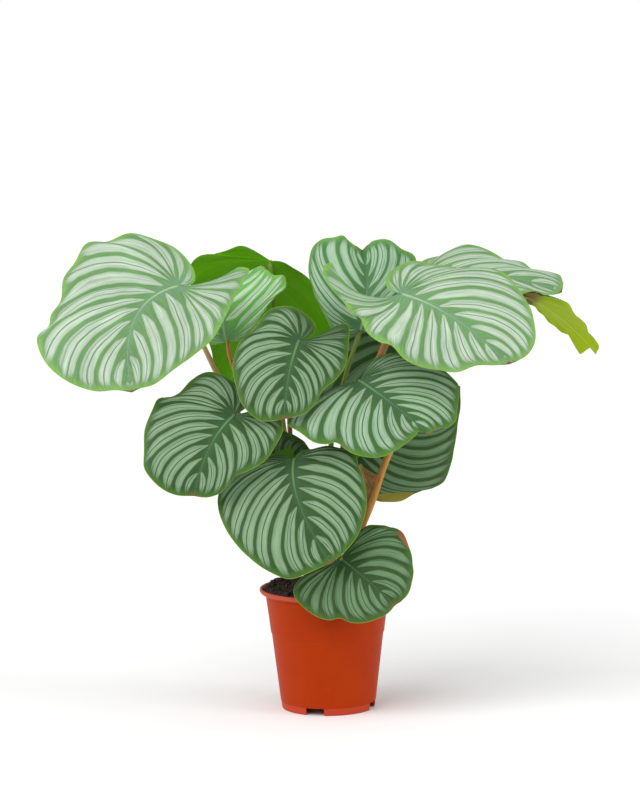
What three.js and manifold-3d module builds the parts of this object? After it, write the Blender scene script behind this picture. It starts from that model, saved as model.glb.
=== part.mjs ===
// Potted calathea: fifteen round, striped leaves on long stalks, growing in a tapered nursery pot.
//
// Units are millimetres and +Z is up. The origin is on the pot's axis at the level of its foot, and the
// front of the plant is -Y.
//
// The leaves are laid out as they are seen from the front, from EYE. A point [x, z, lift] is marked on the
// upright plane through the pot's axis and then slides along its line of sight to its own depth, so each
// outline keeps its seen shape wherever the leaf stands.

import * as THREE from 'three';
import { mergeVertices } from 'three/addons/utils/BufferGeometryUtils.js';
import Module from 'manifold-3d';

// Where the plant is seen from
const EYE = new THREE.Vector3(0, -3600, 800);

// Clearance between pieces that touch on the real plant
const GAP = 0.3;

// Facets around the pot and the soil
const ROUND_SEGMENTS = 56;

// Pot: a thin moulding with a rolled rim, a faint step in its wall and a notched foot ring
const RIM_RADIUS = 83.4;
const POT_HEIGHT = 150;
const WALL = 1.8;
const RIM_FOOT_Z = 140.5;   // the rim leaves the wall at this height
const RIM_STEP = 0.8;       // and stands out from it this much there
const WALL_TOP = { radius: 76, z: 142 };
const WALL_FOOT = { radius: 57.9, z: 2 };
const STEP_Z = 95;
const STEP_OUT = 0.9;
const FOOT_HEIGHT = 9;
const FOOT_RADIUS = 57.5;
const FLOOR_TOP = 11;
const NOTCH_COUNT = 4;
const NOTCH_WIDTH = 23;
const NOTCH_TURN = THREE.MathUtils.degToRad(-107);
const DRAIN_RADIUS = 4.5;
const DRAIN_CIRCLE = 40;

// Soil: fills the pot up to the rim and rises to a low mound where the stalks come out
const SOIL_EDGE = { radius: 79.5, z: 149.4 };
const SOIL_SHOULDER = { radius: 74, z: 151.3 };
const SOIL_TOP = 154;
const MOUND_RADIUS = 39;

// Leaf blades
const BLADE_THICKNESS = 1.0;
const VEIN_BOW = 0.09;      // forward bow of a side vein, as a share of its length
const VEIN_ARCH = 0.05;     // how far a side vein rises out of the blade, as a share of its length
const BOW_PER_TURN = 0.15;  // the bow grows this much for each radian between neighbouring veins
const BOW_SETTLE = 0.8;     // and this much along the margin, past the fan
const VEIN_START = 1.4;     // above 1, side veins leave the midrib closer together near the joint
const FAN_VEINS = 9;        // veins on each side that spread from the joint itself
const MIDRIB_VEINS = 13;    // veins on each side that leave the midrib
const ACROSS = [0, 0.3, 0.7, 1];

// Leaf stalks
const STALK_SIDES = 8;
const STALK_STEPS = 12;
const STALK_RISE = 9;       // a stalk leaves the soil straight up for this length

const LEAF_FINISH = {
  bright: new THREE.MeshStandardMaterial({ color: 0xa6c79c, roughness: 0.5, metalness: 0 }),
  bluish: new THREE.MeshStandardMaterial({ color: 0x9dbfa6, roughness: 0.5, metalness: 0 }),
  mid: new THREE.MeshStandardMaterial({ color: 0x7fa67c, roughness: 0.5, metalness: 0 }),
  dark: new THREE.MeshStandardMaterial({ color: 0x46683f, roughness: 0.5, metalness: 0 }),
  underside: new THREE.MeshStandardMaterial({ color: 0x6f9a24, roughness: 0.55, metalness: 0 }),
};
const STALK_FINISH = new THREE.MeshStandardMaterial({ color: 0xa8752c, roughness: 0.55, metalness: 0 });
const SHEATH_FINISH = new THREE.MeshStandardMaterial({ color: 0x7a5a30, roughness: 0.8, metalness: 0 });
const SOIL_FINISH = new THREE.MeshStandardMaterial({ color: 0x2c2019, roughness: 1, metalness: 0 });
const POT_FINISH = new THREE.MeshStandardMaterial({ color: 0xb5461f, roughness: 0.45, metalness: 0 });

// Each leaf: joint is where the stalk meets the blade, and depth is how far that is behind the pot's axis.
// lean is how much deeper the blade gets per millimetre to the right and per millimetre up, and lift is
// the distance of a point behind that leaning plane. fan is the share of the left and the right margin
// whose veins spread from the joint. left and right run along the margin from the joint to the tip.
const LEAVES = {
  far_left: {
    joint: [-178, 524], depth: -42, lean: [0.05, 0.5], midrib: [-232, 482, -8], tip: [-236, 394, 10],
    fan: [0.35, 0.5], shows: 'upper', finish: LEAF_FINISH.bright,
    left: [
      [-159, 530, 2], [-161, 546, 0], [-180, 571, 2], [-207, 582, 0], [-235, 589, 4], [-262, 580, 0],
      [-287, 578, 4], [-303, 553, 0], [-317, 535, 3], [-321, 508, -2], [-333, 490, 0], [-336, 476, 2],
      [-350, 465, 5], [-350, 452, 6], [-338, 428, 6], [-312, 407, 8], [-280, 396, 10], [-255, 397, 8],
    ],
    right: [
      [-150, 528, 4], [-122, 532, 10], [-104, 546, 2], [-90, 543, -6], [-98, 527, -14],
      [-109, 508, -10], [-120, 486, -4], [-135, 460, 0], [-158, 440, 2], [-185, 421, 2],
      [-208, 404, 4], [-228, 398, 8],
    ],
    stalk: {
      foot: [-24, 6], radii: [5.2, 4.6, 3.8, 2.6],
      through: [[-58, 258, -4], [-98, 348, -14], [-136, 426, -18], [-166, 492, -22]],
    },
  },
  folded_left: {
    joint: [-119, 455], depth: 4, lean: [0.05, 0.3], midrib: [-116, 504, -4], tip: [-73, 549, 12],
    fan: [0.45, 0.75], shows: 'upper', finish: LEAF_FINISH.bright,
    left: [[-138, 452, 6], [-158, 478, 8], [-156, 508, 8], [-130, 526, 7], [-98, 538, 8]],
    right: [
      [-100, 457, 4], [-84, 472, 2], [-72, 493, 0], [-60, 509, 2], [-46, 521, 4], [-48, 535, 8],
      [-62, 537, 8],
    ],
    stalk: {
      foot: [-14, 17], radii: [4.4, 3.8, 3, 2.2],
      through: [[-48, 260, 20], [-92, 372, 16], [-114, 432, 10]],
    },
  },
  drooping_back: {
    joint: [-64, 553], depth: 50, lean: [0, -0.52], midrib: [-88, 474, 8], tip: [-118, 398, 0],
    fan: [0.42, 0.42], shows: 'under', finish: LEAF_FINISH.underside,
    left: [
      [-80, 562, -2], [-94, 571, 0], [-104, 572, 2], [-128, 563, 4], [-150, 561, 0],
      [-162, 548, 2], [-160, 515, 0], [-150, 480, 2], [-139, 448, 0], [-132, 418, 2],
    ],
    right: [
      [-50, 552, 0], [-36, 543, 0], [-17, 531, 2], [-1, 508, 0], [11, 484, 2], [12, 460, 2],
      [0, 434, 0], [-26, 414, 0], [-60, 402, 0], [-90, 397, 0],
    ],
    stalk: {
      foot: [-4, 24], radii: [4.2, 3.8, 3.2, 2.6],
      through: [[-30, 250, 36], [-50, 345, 42], [-58, 450, 48]],
    },
  },
  upper_middle: {
    joint: [-31, 455], depth: -58, lean: [0.05, 0.5], midrib: [-44, 412, -7], tip: [-50, 359, 8],
    fan: [0.4, 0.42], shows: 'upper', finish: LEAF_FINISH.mid,
    left: [
      [-13, 465, 2], [-11, 474, 2], [-23, 489, 2], [-42, 497, 0], [-65, 495, 2], [-84, 472, 0],
      [-102, 455, 2], [-112, 430, 2], [-109, 402, 2], [-103, 381, 3], [-92, 366, 5], [-78, 357, 7],
      [-62, 357, 6],
    ],
    right: [
      [-14, 460, 0], [2, 464, 4], [16, 474, 4], [29, 474, 0], [30, 452, -6], [26, 425, -4],
      [15, 408, -2], [-1, 395, 0], [-12, 378, 2], [-24, 366, 4], [-38, 361, 6],
    ],
    stalk: {
      foot: [-9, -9], radii: [4.4, 3.8, 3.2, 2.4],
      through: [[-36, 250, -14], [-43, 345, -18], [-42, 420, -34]],
    },
  },
  top: {
    joint: [45, 468], depth: -4, lean: [0, 0.3], midrib: [53, 520, -2], tip: [48, 565, 16],
    fan: [0.42, 0.42], shows: 'upper', finish: LEAF_FINISH.bluish,
    left: [
      [32, 462, 0], [14, 464, -4], [2, 484, -4], [-11, 512, -2], [-18, 542, 0], [-14, 566, 2],
      [-2, 579, 4], [14, 581, 2], [25, 583, 2], [36, 573, 8],
    ],
    right: [
      [62, 462, 0], [90, 472, 2], [106, 500, 4], [114, 534, 4], [111, 557, 2], [95, 567, 0],
      [80, 577, 2], [62, 577, 4], [54, 571, 10],
    ],
    stalk: {
      foot: [4, 8], radii: [4.4, 3.8, 3.4, 2.6],
      through: [[4, 260, 8], [10, 350, 6], [26, 412, 2]],
    },
  },
  upper_right: {
    joint: [95, 511], depth: -66, lean: [0.1, 0.5], midrib: [158, 481, -6], tip: [226, 423, 8],
    fan: [0.5, 0.35], shows: 'upper', finish: LEAF_FINISH.bright,
    left: [
      [72, 511, 6], [48, 512, 8], [32, 518, 4], [20, 533, 2], [12, 549, 0], [2, 548, -4], [0, 537, -6],
      [10, 518, -6], [25, 501, -6], [33, 488, -6], [44, 482, -2],
      [52, 465, 0], [68, 452, 2], [82, 448, 0], [98, 431, 2], [118, 421, 4], [140, 417, 4],
      [162, 414, 4], [186, 422, 2], [208, 422, 4],
    ],
    right: [
      [80, 516, -2], [76, 530, 0], [92, 546, 4], [116, 551, 2], [145, 545, 0], [180, 541, 2],
      [214, 539, 0], [232, 523, 2], [248, 500, 0], [257, 475, 2], [258, 453, 4], [250, 436, 6],
      [238, 428, 6],
    ],
    stalk: {
      foot: [12, -6], radii: [4.8, 4.2, 3.6, 2.8],
      through: [[22, 260, -10], [48, 390, -26], [70, 442, -36], [88, 490, -48]],
    },
  },
  edge_right: {
    joint: [122, 536], depth: 36, lean: [0.02, 1.9], midrib: [205, 533, -4], tip: [291, 511, 0],
    fan: [0.42, 0.42], shows: 'upper', finish: LEAF_FINISH.bright,
    left: [
      [113, 543, 2], [122, 551, -4], [148, 559, -14], [178, 571, -24], [203, 562, -14], [226, 550, -2],
      [243, 547, -4], [264, 534, 8], [287, 532, 4], [292, 524, 2],
    ],
    right: [
      [118, 526, 2], [130, 514, 2], [165, 506, -2], [205, 504, -4], [238, 508, -8], [258, 512, -10],
      [272, 508, -2], [284, 508, 0],
    ],
    stalk: {
      foot: [15, 14], radii: [4.6, 4, 3.4, 2.4],
      through: [[22, 260, 6], [38, 340, -8], [58, 400, -2], [90, 480, 14]],
    },
  },
  far_right: {
    joint: [243, 509], depth: 20, lean: [0, 0], midrib: [292, 477, 10], tip: [332, 434, 14],
    fan: [0.35, 0.35], shows: 'under', finish: LEAF_FINISH.underside,
    left: [
      [246, 499, 14], [256, 494, 30], [267, 483, 42], [281, 469, 48], [294, 460, 46], [304, 455, 42],
      [309, 447, 38], [313, 435, 32], [320, 439, 24], [326, 442, 18],
    ],
    right: [
      [252, 516, -8], [264, 508, -24], [282, 503, -36], [297, 498, -40], [305, 486, -37],
      [319, 471, -28], [326, 457, -15], [336, 445, 2],
    ],
    stalk: {
      foot: [24, 0], radii: [5.4, 4.7, 4, 3.4, 2.5],
      through: [[36, 205, -18], [57, 256, -28], [78, 314, -32], [123, 392, -22], [190, 462, 2]],
    },
  },
  middle_right: {
    joint: [43, 405], depth: -58, lean: [0.05, 0.5], midrib: [84, 375, -7], tip: [128, 336, 8],
    fan: [0.5, 0.35], shows: 'upper', finish: LEAF_FINISH.mid,
    left: [
      [28, 402, 2], [2, 392, 0], [-18, 379, 0], [-38, 365, 4], [-47, 354, 0], [-31, 342, -2],
      [-14, 330, 0], [0, 327, 2], [13, 329, 6], [30, 317, 2], [48, 311, 2], [70, 311, 2],
      [90, 321, 4], [108, 334, 4], [117, 343, 8],
    ],
    right: [
      [50, 417, 2], [66, 434, 0], [92, 438, 2], [124, 427, 2], [150, 414, 2], [161, 402, 4],
      [165, 392, 2], [162, 370, 2], [160, 354, 4], [148, 346, 6], [138, 346, 8],
    ],
    stalk: {
      foot: [8, -19], radii: [4.4, 3.8, 3.2, 2.4],
      through: [[14, 250, -30], [24, 340, -42], [36, 386, -50]],
    },
  },
  right_back: {
    joint: [32, 300], depth: 16, lean: [0.15, 0.3], midrib: [82, 352, 4], tip: [166, 397, 4],
    fan: [0.3, 0.42], shows: 'upper', finish: LEAF_FINISH.dark,
    left: [[32, 318, 0], [52, 350, 2], [82, 377, 2], [116, 393, 2], [146, 400, 2]],
    right: [
      [28, 286, 0], [36, 271, 0], [52, 260, -2], [72, 255, -8], [93, 256, -6], [110, 265, -2],
      [132, 272, 0], [146, 280, 0], [153, 298, 0], [158, 318, 0], [162, 345, 0], [166, 372, 0],
    ],
    stalk: { foot: [27, 13], radii: [4.4, 3.6, 2.6], through: [[34, 215, 18], [36, 265, 30]] },
  },
  middle_left: {
    joint: [-112, 364], depth: -84, lean: [0.05, 0.45], midrib: [-142, 325, -8], tip: [-163, 265, 8],
    fan: [0.38, 0.45], shows: 'upper', finish: LEAF_FINISH.mid,
    left: [
      [-100, 371, 3], [-95, 377, 3], [-97, 388, 2], [-106, 402, 2], [-120, 412, 0], [-142, 418, 2],
      [-163, 409, 0], [-178, 393, 0], [-190, 387, 2], [-204, 386, 4], [-212, 372, 0], [-221, 348, 2],
      [-223, 320, 2], [-223, 301, 2], [-213, 285, 4], [-198, 272, 6], [-183, 266, 8],
    ],
    right: [
      [-98, 367, 1], [-86, 369, 0], [-66, 362, 2], [-54, 357, 0], [-52, 344, -2], [-60, 328, -2],
      [-74, 308, 0], [-92, 297, 2], [-112, 288, 2], [-121, 277, 2], [-132, 267, 4], [-147, 263, 6],
    ],
    stalk: {
      foot: [-23, -11], radii: [4.4, 3.8, 3, 2.2],
      through: [[-44, 225, -38], [-66, 290, -64], [-92, 340, -74]],
    },
  },
  front: {
    joint: [-39, 309], depth: -76, lean: [0, 0.45], midrib: [-33, 253, -8], tip: [5, 179, 8],
    fan: [0.42, 0.42], shows: 'upper', finish: LEAF_FINISH.mid,
    left: [
      [-58, 315, 4], [-86, 307, 2], [-114, 290, 2], [-132, 266, 0], [-133, 250, 2], [-127, 230, 2],
      [-112, 205, 2], [-94, 186, 4], [-72, 170, 6], [-46, 160, 8], [-24, 167, 8], [-8, 174, 8],
    ],
    right: [
      [-32, 318, 2], [-10, 323, 2], [12, 324, 0], [34, 316, 2], [41, 300, 0], [47, 280, 2],
      [50, 260, 0], [47, 236, 2], [38, 213, 4], [26, 197, 6], [14, 186, 8],
    ],
    stalk: { foot: [-10, -22], radii: [4.4, 3.6, 2.6], through: [[-24, 220, -40], [-36, 280, -58]] },
  },
  low_front: {
    joint: [18, 184], depth: -76, lean: [0.05, 0.45], midrib: [46, 161, -7], tip: [84, 126, 6],
    fan: [0.42, 0.42], shows: 'upper', finish: LEAF_FINISH.dark,
    left: [
      [6, 181, 2], [-12, 171, 0], [-30, 163, 2], [-41, 150, 0], [-40, 137, 0], [-28, 123, 2],
      [-12, 112, 2], [2, 108, 4], [15, 110, 7], [28, 105, 4], [44, 104, 2], [62, 109, 2],
      [75, 116, 4],
    ],
    right: [
      [22, 194, 2], [31, 212, 2], [46, 223, 4], [62, 227, 2], [76, 224, 0], [90, 220, 6], [99, 206, 2],
      [106, 180, 2], [106, 160, 2], [101, 142, 4], [92, 131, 4],
    ],
    stalk: { foot: [14, -31], radii: [4, 3.4, 2.6], through: [[18, 166, -50]] },
  },
  inner: {
    joint: [92, 470], depth: 72, lean: [0.1, 0.3], midrib: [86, 424, -3], tip: [76, 374, 2],
    fan: [0.42, 0.42], shows: 'upper', finish: LEAF_FINISH.dark,
    left: [
      [74, 480, 2], [48, 480, 0], [20, 468, 0], [2, 444, 0], [-8, 414, 0], [-8, 382, 0], [24, 366, 0],
      [54, 370, 0],
    ],
    right: [[104, 478, 2], [120, 464, 0], [126, 438, 0], [122, 408, 0], [106, 384, 0], [90, 374, 0]],
    stalk: {
      foot: [12, 27], radii: [4.4, 3.8, 3.2, 2.4],
      through: [[30, 260, 46], [66, 370, 84], [84, 440, 86]],
    },
  },
  young: {
    joint: [-64, 294], depth: -38, lean: [0, 0.2], midrib: [-44, 312, 2], tip: [-19, 321, 4],
    fan: [0.42, 0.42], shows: 'upper', finish: LEAF_FINISH.dark,
    left: [[-74, 304, 0], [-76, 324, 2], [-65, 340, 2], [-52, 344, 2], [-38, 339, 2], [-27, 332, 2]],
    right: [[-54, 284, 0], [-38, 282, 0], [-24, 294, 0], [-17, 308, 0]],
    stalk: { foot: [-17, -3], radii: [3.8, 3.2, 2.2], through: [[-42, 215, -12], [-60, 266, -24]] },
  },
};

// The dry sheath at the thick stalk on the right, as seen from the front
const SHEATH_OUTLINE = [
  [66, 290], [55, 291], [49, 295], [43, 303], [40, 297], [43, 280], [47, 262], [49, 250], [53, 257],
  [60, 274],
];
const SHEATH_DEPTH = -22.5;
const SHEATH_THICKNESS = 1.2;

// ---------------------------------------------------------------------------------------------- helpers

const clamp = THREE.MathUtils.clamp;

function slideToDepth(x, z, depth) {
  const onPlane = new THREE.Vector3(x, 0, z);
  return onPlane.sub(EYE).multiplyScalar(1 - depth / EYE.y).add(EYE);
}

function leafPoint(leaf, [x, z, lift = 0]) {
  const depth = leaf.depth + leaf.lean[0] * (x - leaf.joint[0]) + leaf.lean[1] * (z - leaf.joint[1]);
  return slideToDepth(x, z, depth + lift);
}

function centroid(points) {
  return points.reduce((sum, p) => sum.add(p), new THREE.Vector3()).divideScalar(points.length);
}

function smoothCurve(points) {
  return new THREE.CatmullRomCurve3(points, false, 'centripetal');
}

function geometryFrom(points, triangles) {
  const geometry = new THREE.BufferGeometry();
  geometry.setAttribute('position', new THREE.Float32BufferAttribute(points.flatMap((p) => p.toArray()), 3));
  geometry.setIndex(triangles.flat());
  geometry.computeVertexNormals();
  return geometry;
}

// ------------------------------------------------------------------------------------------------ leaf

// The leaf's points in space, with its normal towards the striped upper side
function leafFrame(leaf) {
  const joint = leafPoint(leaf, leaf.joint);
  const tip = leafPoint(leaf, leaf.tip);
  let left = { margin: leaf.left.map((p) => leafPoint(leaf, p)), fan: leaf.fan[0] };
  let right = { margin: leaf.right.map((p) => leafPoint(leaf, p)), fan: leaf.fan[1] };
  const along = tip.clone().sub(joint);
  const across = centroid(right.margin).sub(centroid(left.margin));
  const normal = along.clone().cross(across).normalize();
  const towardsEye = EYE.clone().sub(joint).dot(normal) > 0;
  if (towardsEye !== (leaf.shows === 'upper')) {
    [left, right] = [right, left];
    normal.negate();
  }
  const middle = leafPoint(leaf, leaf.midrib);
  const bend = middle.multiplyScalar(2).sub(joint.clone().add(tip).multiplyScalar(0.5));
  const midrib = new THREE.QuadraticBezierCurve3(joint, bend, tip);
  return { joint, tip, left, right, normal, along, midrib };
}

// The side veins of one half of a blade, as rows of points from the midrib to the margin. turn is +1 or -1.
function veinRows({ joint, tip, normal, midrib }, { margin, fan }, turn) {
  const edge = smoothCurve([joint, ...margin, tip]);
  const samples = edge.getSpacedPoints(60);
  const angleBetween = (a, b) =>
    Math.asin(clamp((-turn * a.clone().cross(b).dot(normal)) / (a.length() * b.length()), -1, 1));

  // the first vein is the one that reaches furthest back along the notch at the joint
  const firstReach = samples[1].clone().sub(joint);
  let start = 1 / 60;
  let furthest = 0;
  for (let i = 2; i / 60 <= Math.min(fan, 0.35); i += 1) {
    const angle = angleBetween(firstReach, samples[i].clone().sub(joint));
    if (angle < furthest) {
      furthest = angle;
      start = i / 60;
    }
  }

  const stations = [];
  for (let i = 0; i < FAN_VEINS; i += 1) stations.push(start + ((fan - start) * i) / FAN_VEINS);
  for (let i = 0; i <= MIDRIB_VEINS; i += 1) stations.push(fan + ((1 - fan) * i) / MIDRIB_VEINS);

  let previous = null;
  return stations.map((u) => {
    const end = edge.getPointAt(u);
    const origin = midrib.getPoint(Math.max(0, (u - fan) / (1 - fan)) ** VEIN_START);
    const reach = end.clone().sub(origin);
    const length = reach.length();
    if (length < 1e-6) return ACROSS.map(() => origin);
    const forward = normal.clone().cross(reach).multiplyScalar(turn);
    let bow = VEIN_BOW * Math.min(1, (u - start) / 0.3);
    if (u < fan) {
      // a vein of the fan stays inside the margin, also where the margin is hollow
      for (let i = 1; i / 60 < u; i += 1) {
        const offset = samples[i].clone().sub(origin);
        const w = offset.dot(reach) / length ** 2;
        const outside = -offset.dot(forward) / length ** 2 / (2 * w * (1 - w));
        if (w > 0.08 && w < 0.95 && outside > 0) bow = Math.min(bow, -1.05 * outside);
      }
    }
    if (previous) {
      const growth = u <= fan
        ? BOW_PER_TURN * Math.max(angleBetween(previous.reach, reach), 0)
        : BOW_SETTLE * (u - previous.u);
      bow = Math.min(bow, previous.bow + growth);
    }
    previous = { reach, bow, u };
    const control = origin.clone().addScaledVector(reach, 0.5).addScaledVector(forward, bow);
    const vein = new THREE.QuadraticBezierCurve3(origin, control, end);
    return ACROSS.map((w) => vein.getPoint(w).addScaledVector(normal, VEIN_ARCH * 4 * w * (1 - w) * length));
  });
}

// A blade is the sheet through its veins, thickened to both sides
function bladeGeometry(leaf) {
  const frame = leafFrame(leaf);
  const points = [];
  const seen = new Map();
  const indexOf = (p) => {
    const key = p.toArray().map((v) => Math.round(v * 1e4)).join();
    if (!seen.has(key)) seen.set(key, points.push(p) - 1);
    return seen.get(key);
  };
  const sheet = [];
  for (const [half, turn] of [[frame.right, 1], [frame.left, -1]]) {
    const rows = veinRows(frame, half, turn).map((row) => row.map(indexOf));
    for (let i = 0; i + 1 < rows.length; i += 1) {
      for (let j = 0; j + 1 < ACROSS.length; j += 1) {
        const [a, b, c, d] = [rows[i][j], rows[i + 1][j], rows[i + 1][j + 1], rows[i][j + 1]];
        for (const triangle of [[a, b, c], [a, c, d]]) {
          if (new Set(triangle).size === 3) sheet.push(turn > 0 ? triangle : triangle.reverse());
        }
      }
    }
  }

  const flat = geometryFrom(points, sheet);
  const normals = flat.getAttribute('normal');
  const offsets = points.map((_, i) => new THREE.Vector3().fromBufferAttribute(normals, i));
  const facing = offsets.reduce((sum, n) => sum + n.dot(frame.normal), 0);
  if (facing < 0) {
    sheet.forEach((triangle) => triangle.reverse());
    offsets.forEach((n) => n.negate());
  }
  const upper = points.map((p, i) => p.clone().addScaledVector(offsets[i], BLADE_THICKNESS / 2));
  const lower = points.map((p, i) => p.clone().addScaledVector(offsets[i], -BLADE_THICKNESS / 2));
  const edges = new Set(sheet.flatMap(([a, b, c]) => [`${a},${b}`, `${b},${c}`, `${c},${a}`]));
  const down = points.length;
  const faces = [...sheet, ...sheet.map(([a, b, c]) => [c + down, b + down, a + down])];
  for (const edge of edges) {
    const [a, b] = edge.split(',').map(Number);
    if (!edges.has(`${b},${a}`)) faces.push([b, a, a + down], [b, a + down, b + down]);
  }
  return geometryFrom([...upper, ...lower], faces);
}

// ------------------------------------------------------------------------------------- stalk and sheath

// A tapering round bar along a curve, with flat closed ends
function barGeometry(path, radii) {
  const curve = smoothCurve(path);
  const { normals, binormals } = curve.computeFrenetFrames(STALK_STEPS, false);
  const centres = curve.getSpacedPoints(STALK_STEPS);
  const points = [];
  centres.forEach((centre, i) => {
    const place = (i / STALK_STEPS) * (radii.length - 1);
    const k = Math.min(Math.floor(place), radii.length - 2);
    const radius = THREE.MathUtils.lerp(radii[k], radii[k + 1], place - k);
    for (let side = 0; side < STALK_SIDES; side += 1) {
      const angle = (2 * Math.PI * side) / STALK_SIDES;
      points.push(centre.clone()
        .addScaledVector(normals[i], radius * Math.cos(angle))
        .addScaledVector(binormals[i], radius * Math.sin(angle)));
    }
  });
  const faces = [];
  const foot = points.push(centres[0]) - 1;
  const head = points.push(centres[STALK_STEPS]) - 1;
  for (let side = 0; side < STALK_SIDES; side += 1) {
    const next = (side + 1) % STALK_SIDES;
    for (let i = 0; i < STALK_STEPS; i += 1) {
      const [low, high] = [i * STALK_SIDES, (i + 1) * STALK_SIDES];
      faces.push([low + side, low + next, high + next], [low + side, high + next, high + side]);
    }
    const last = STALK_STEPS * STALK_SIDES;
    faces.push([foot, next, side], [head, last + side, last + next]);
  }
  return geometryFrom(points, faces);
}

// The stalk rises from the soil to just under its blade, past the joint
function stalkGeometry(leaf) {
  const { foot, through, radii } = leaf.stalk;
  const { joint, normal, along } = leafFrame(leaf);
  const headRadius = radii[radii.length - 1];
  const head = joint.clone()
    .addScaledVector(normal, -(BLADE_THICKNESS / 2 + GAP + headRadius * 1.15))
    .addScaledVector(along.clone().normalize(), 2);
  const base = new THREE.Vector3(foot[0], foot[1], SOIL_TOP + GAP);
  const risen = base.clone().setZ(base.z + STALK_RISE);
  const between = through.map(([x, z, depth]) => slideToDepth(x, z, depth));
  return barGeometry([base, risen, ...between, head], radii);
}

function sheathGeometry() {
  const outline = new THREE.Shape(SHEATH_OUTLINE.map(([x, z]) => {
    const seen = slideToDepth(x, z, SHEATH_DEPTH);
    return new THREE.Vector2(seen.x, seen.z);
  }));
  const plate = new THREE.ExtrudeGeometry(outline, { depth: SHEATH_THICKNESS, bevelEnabled: false });
  plate.rotateX(Math.PI / 2);
  plate.translate(0, SHEATH_DEPTH + SHEATH_THICKNESS / 2, 0);
  return plate;
}

// ------------------------------------------------------------------------------------------ pot and soil

function outerRadius(z) {
  const { radius, z: top } = WALL_TOP;
  return radius + ((z - top) * (radius - WALL_FOOT.radius)) / (top - WALL_FOOT.z);
}

function innerRadius(z) {
  return outerRadius(z) - WALL - STEP_OUT;
}

function lathe(profile) {
  const points = profile.map(([r, z]) => new THREE.Vector2(r, z));
  return new THREE.LatheGeometry(points, ROUND_SEGMENTS).rotateX(Math.PI / 2);
}

const wasm = await Module();
wasm.setup();

function toSolid(geometry) {
  const bare = geometry.clone();
  bare.deleteAttribute('normal');
  bare.deleteAttribute('uv');
  const merged = mergeVertices(bare);
  return new wasm.Manifold(new wasm.Mesh({
    numProp: 3,
    vertProperties: new Float32Array(merged.getAttribute('position').array),
    triVerts: new Uint32Array(merged.getIndex().array),
  }));
}

function fromSolid(solid) {
  const mesh = solid.getMesh();
  const geometry = new THREE.BufferGeometry();
  geometry.setAttribute('position', new THREE.Float32BufferAttribute(mesh.vertProperties, 3));
  geometry.setIndex([...mesh.triVerts]);
  geometry.computeVertexNormals();
  return geometry;
}

function potGeometry() {
  const rimFoot = outerRadius(RIM_FOOT_Z);
  const shell = lathe([
    [0, FOOT_HEIGHT],
    [FOOT_RADIUS - 3, FOOT_HEIGHT],
    [FOOT_RADIUS - 3, 0],
    [FOOT_RADIUS - 0.6, 0],
    [WALL_FOOT.radius, WALL_FOOT.z],
    [outerRadius(STEP_Z) - STEP_OUT, STEP_Z - 1],
    [outerRadius(STEP_Z), STEP_Z],
    [rimFoot, RIM_FOOT_Z],
    [rimFoot + RIM_STEP, RIM_FOOT_Z + 0.6],
    [RIM_RADIUS - 1, POT_HEIGHT - 5.2],
    [RIM_RADIUS, POT_HEIGHT - 3.2],
    [RIM_RADIUS - 0.3, POT_HEIGHT - 0.9],
    [RIM_RADIUS - 1.5, POT_HEIGHT],
    [RIM_RADIUS - 3.2, POT_HEIGHT - 0.6],
    [innerRadius(WALL_TOP.z), WALL_TOP.z],
    [innerRadius(FLOOR_TOP), FLOOR_TOP],
    [0, FLOOR_TOP],
  ]);
  let pot = toSolid(shell);
  for (let i = 0; i < NOTCH_COUNT; i += 1) {
    const angle = NOTCH_TURN + (2 * Math.PI * i) / NOTCH_COUNT;
    const notch = new THREE.BoxGeometry(16, NOTCH_WIDTH, 2 * FOOT_HEIGHT);
    notch.translate(FOOT_RADIUS, 0, 0).rotateZ(angle);
    const drain = new THREE.CylinderGeometry(DRAIN_RADIUS, DRAIN_RADIUS, 20, 16).rotateX(Math.PI / 2);
    drain.translate(DRAIN_CIRCLE, 0, FLOOR_TOP).rotateZ(angle);
    pot = pot.subtract(toSolid(notch)).subtract(toSolid(drain));
  }
  return fromSolid(pot);
}

function soilGeometry() {
  const bottom = FLOOR_TOP + GAP;
  return lathe([
    [0, bottom],
    [innerRadius(bottom) - GAP, bottom],
    [innerRadius(WALL_TOP.z) - GAP, WALL_TOP.z + 0.1],
    [SOIL_EDGE.radius, SOIL_EDGE.z],
    [SOIL_SHOULDER.radius, SOIL_SHOULDER.z],
    [MOUND_RADIUS, SOIL_TOP],
    [0, SOIL_TOP],
  ]);
}

// --------------------------------------------------------------------------------------------- the plant

const plant = new THREE.Group();

function add(name, geometry, material) {
  const mesh = new THREE.Mesh(geometry, material);
  mesh.name = name;
  plant.add(mesh);
}

for (const [name, leaf] of Object.entries(LEAVES)) {
  add(`leaf_${name}`, bladeGeometry(leaf), leaf.finish);
  add(`stalk_${name}`, stalkGeometry(leaf), STALK_FINISH);
}
add('sheath', sheathGeometry(), SHEATH_FINISH);
add('soil', soilGeometry(), SOIL_FINISH);
add('pot', potGeometry(), POT_FINISH);

export default plant;
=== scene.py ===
"""Potted calathea: round, silver-striped leaves on long stalks in a terracotta-coloured nursery pot.

Lengths are in millimetres until a mesh is made, and Blender's are in metres. The leaves are laid out as the
plant is seen from EYE: a point (x, z, lift) is marked on the upright plane through the pot's axis and slides
along its line of sight to its own depth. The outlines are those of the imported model, so each fine leaf lies
in its plain one.
"""
import bpy
import math
from itertools import product
import numpy as np
from mathutils import Matrix, Vector, noise
from numpy.linalg import norm


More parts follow.
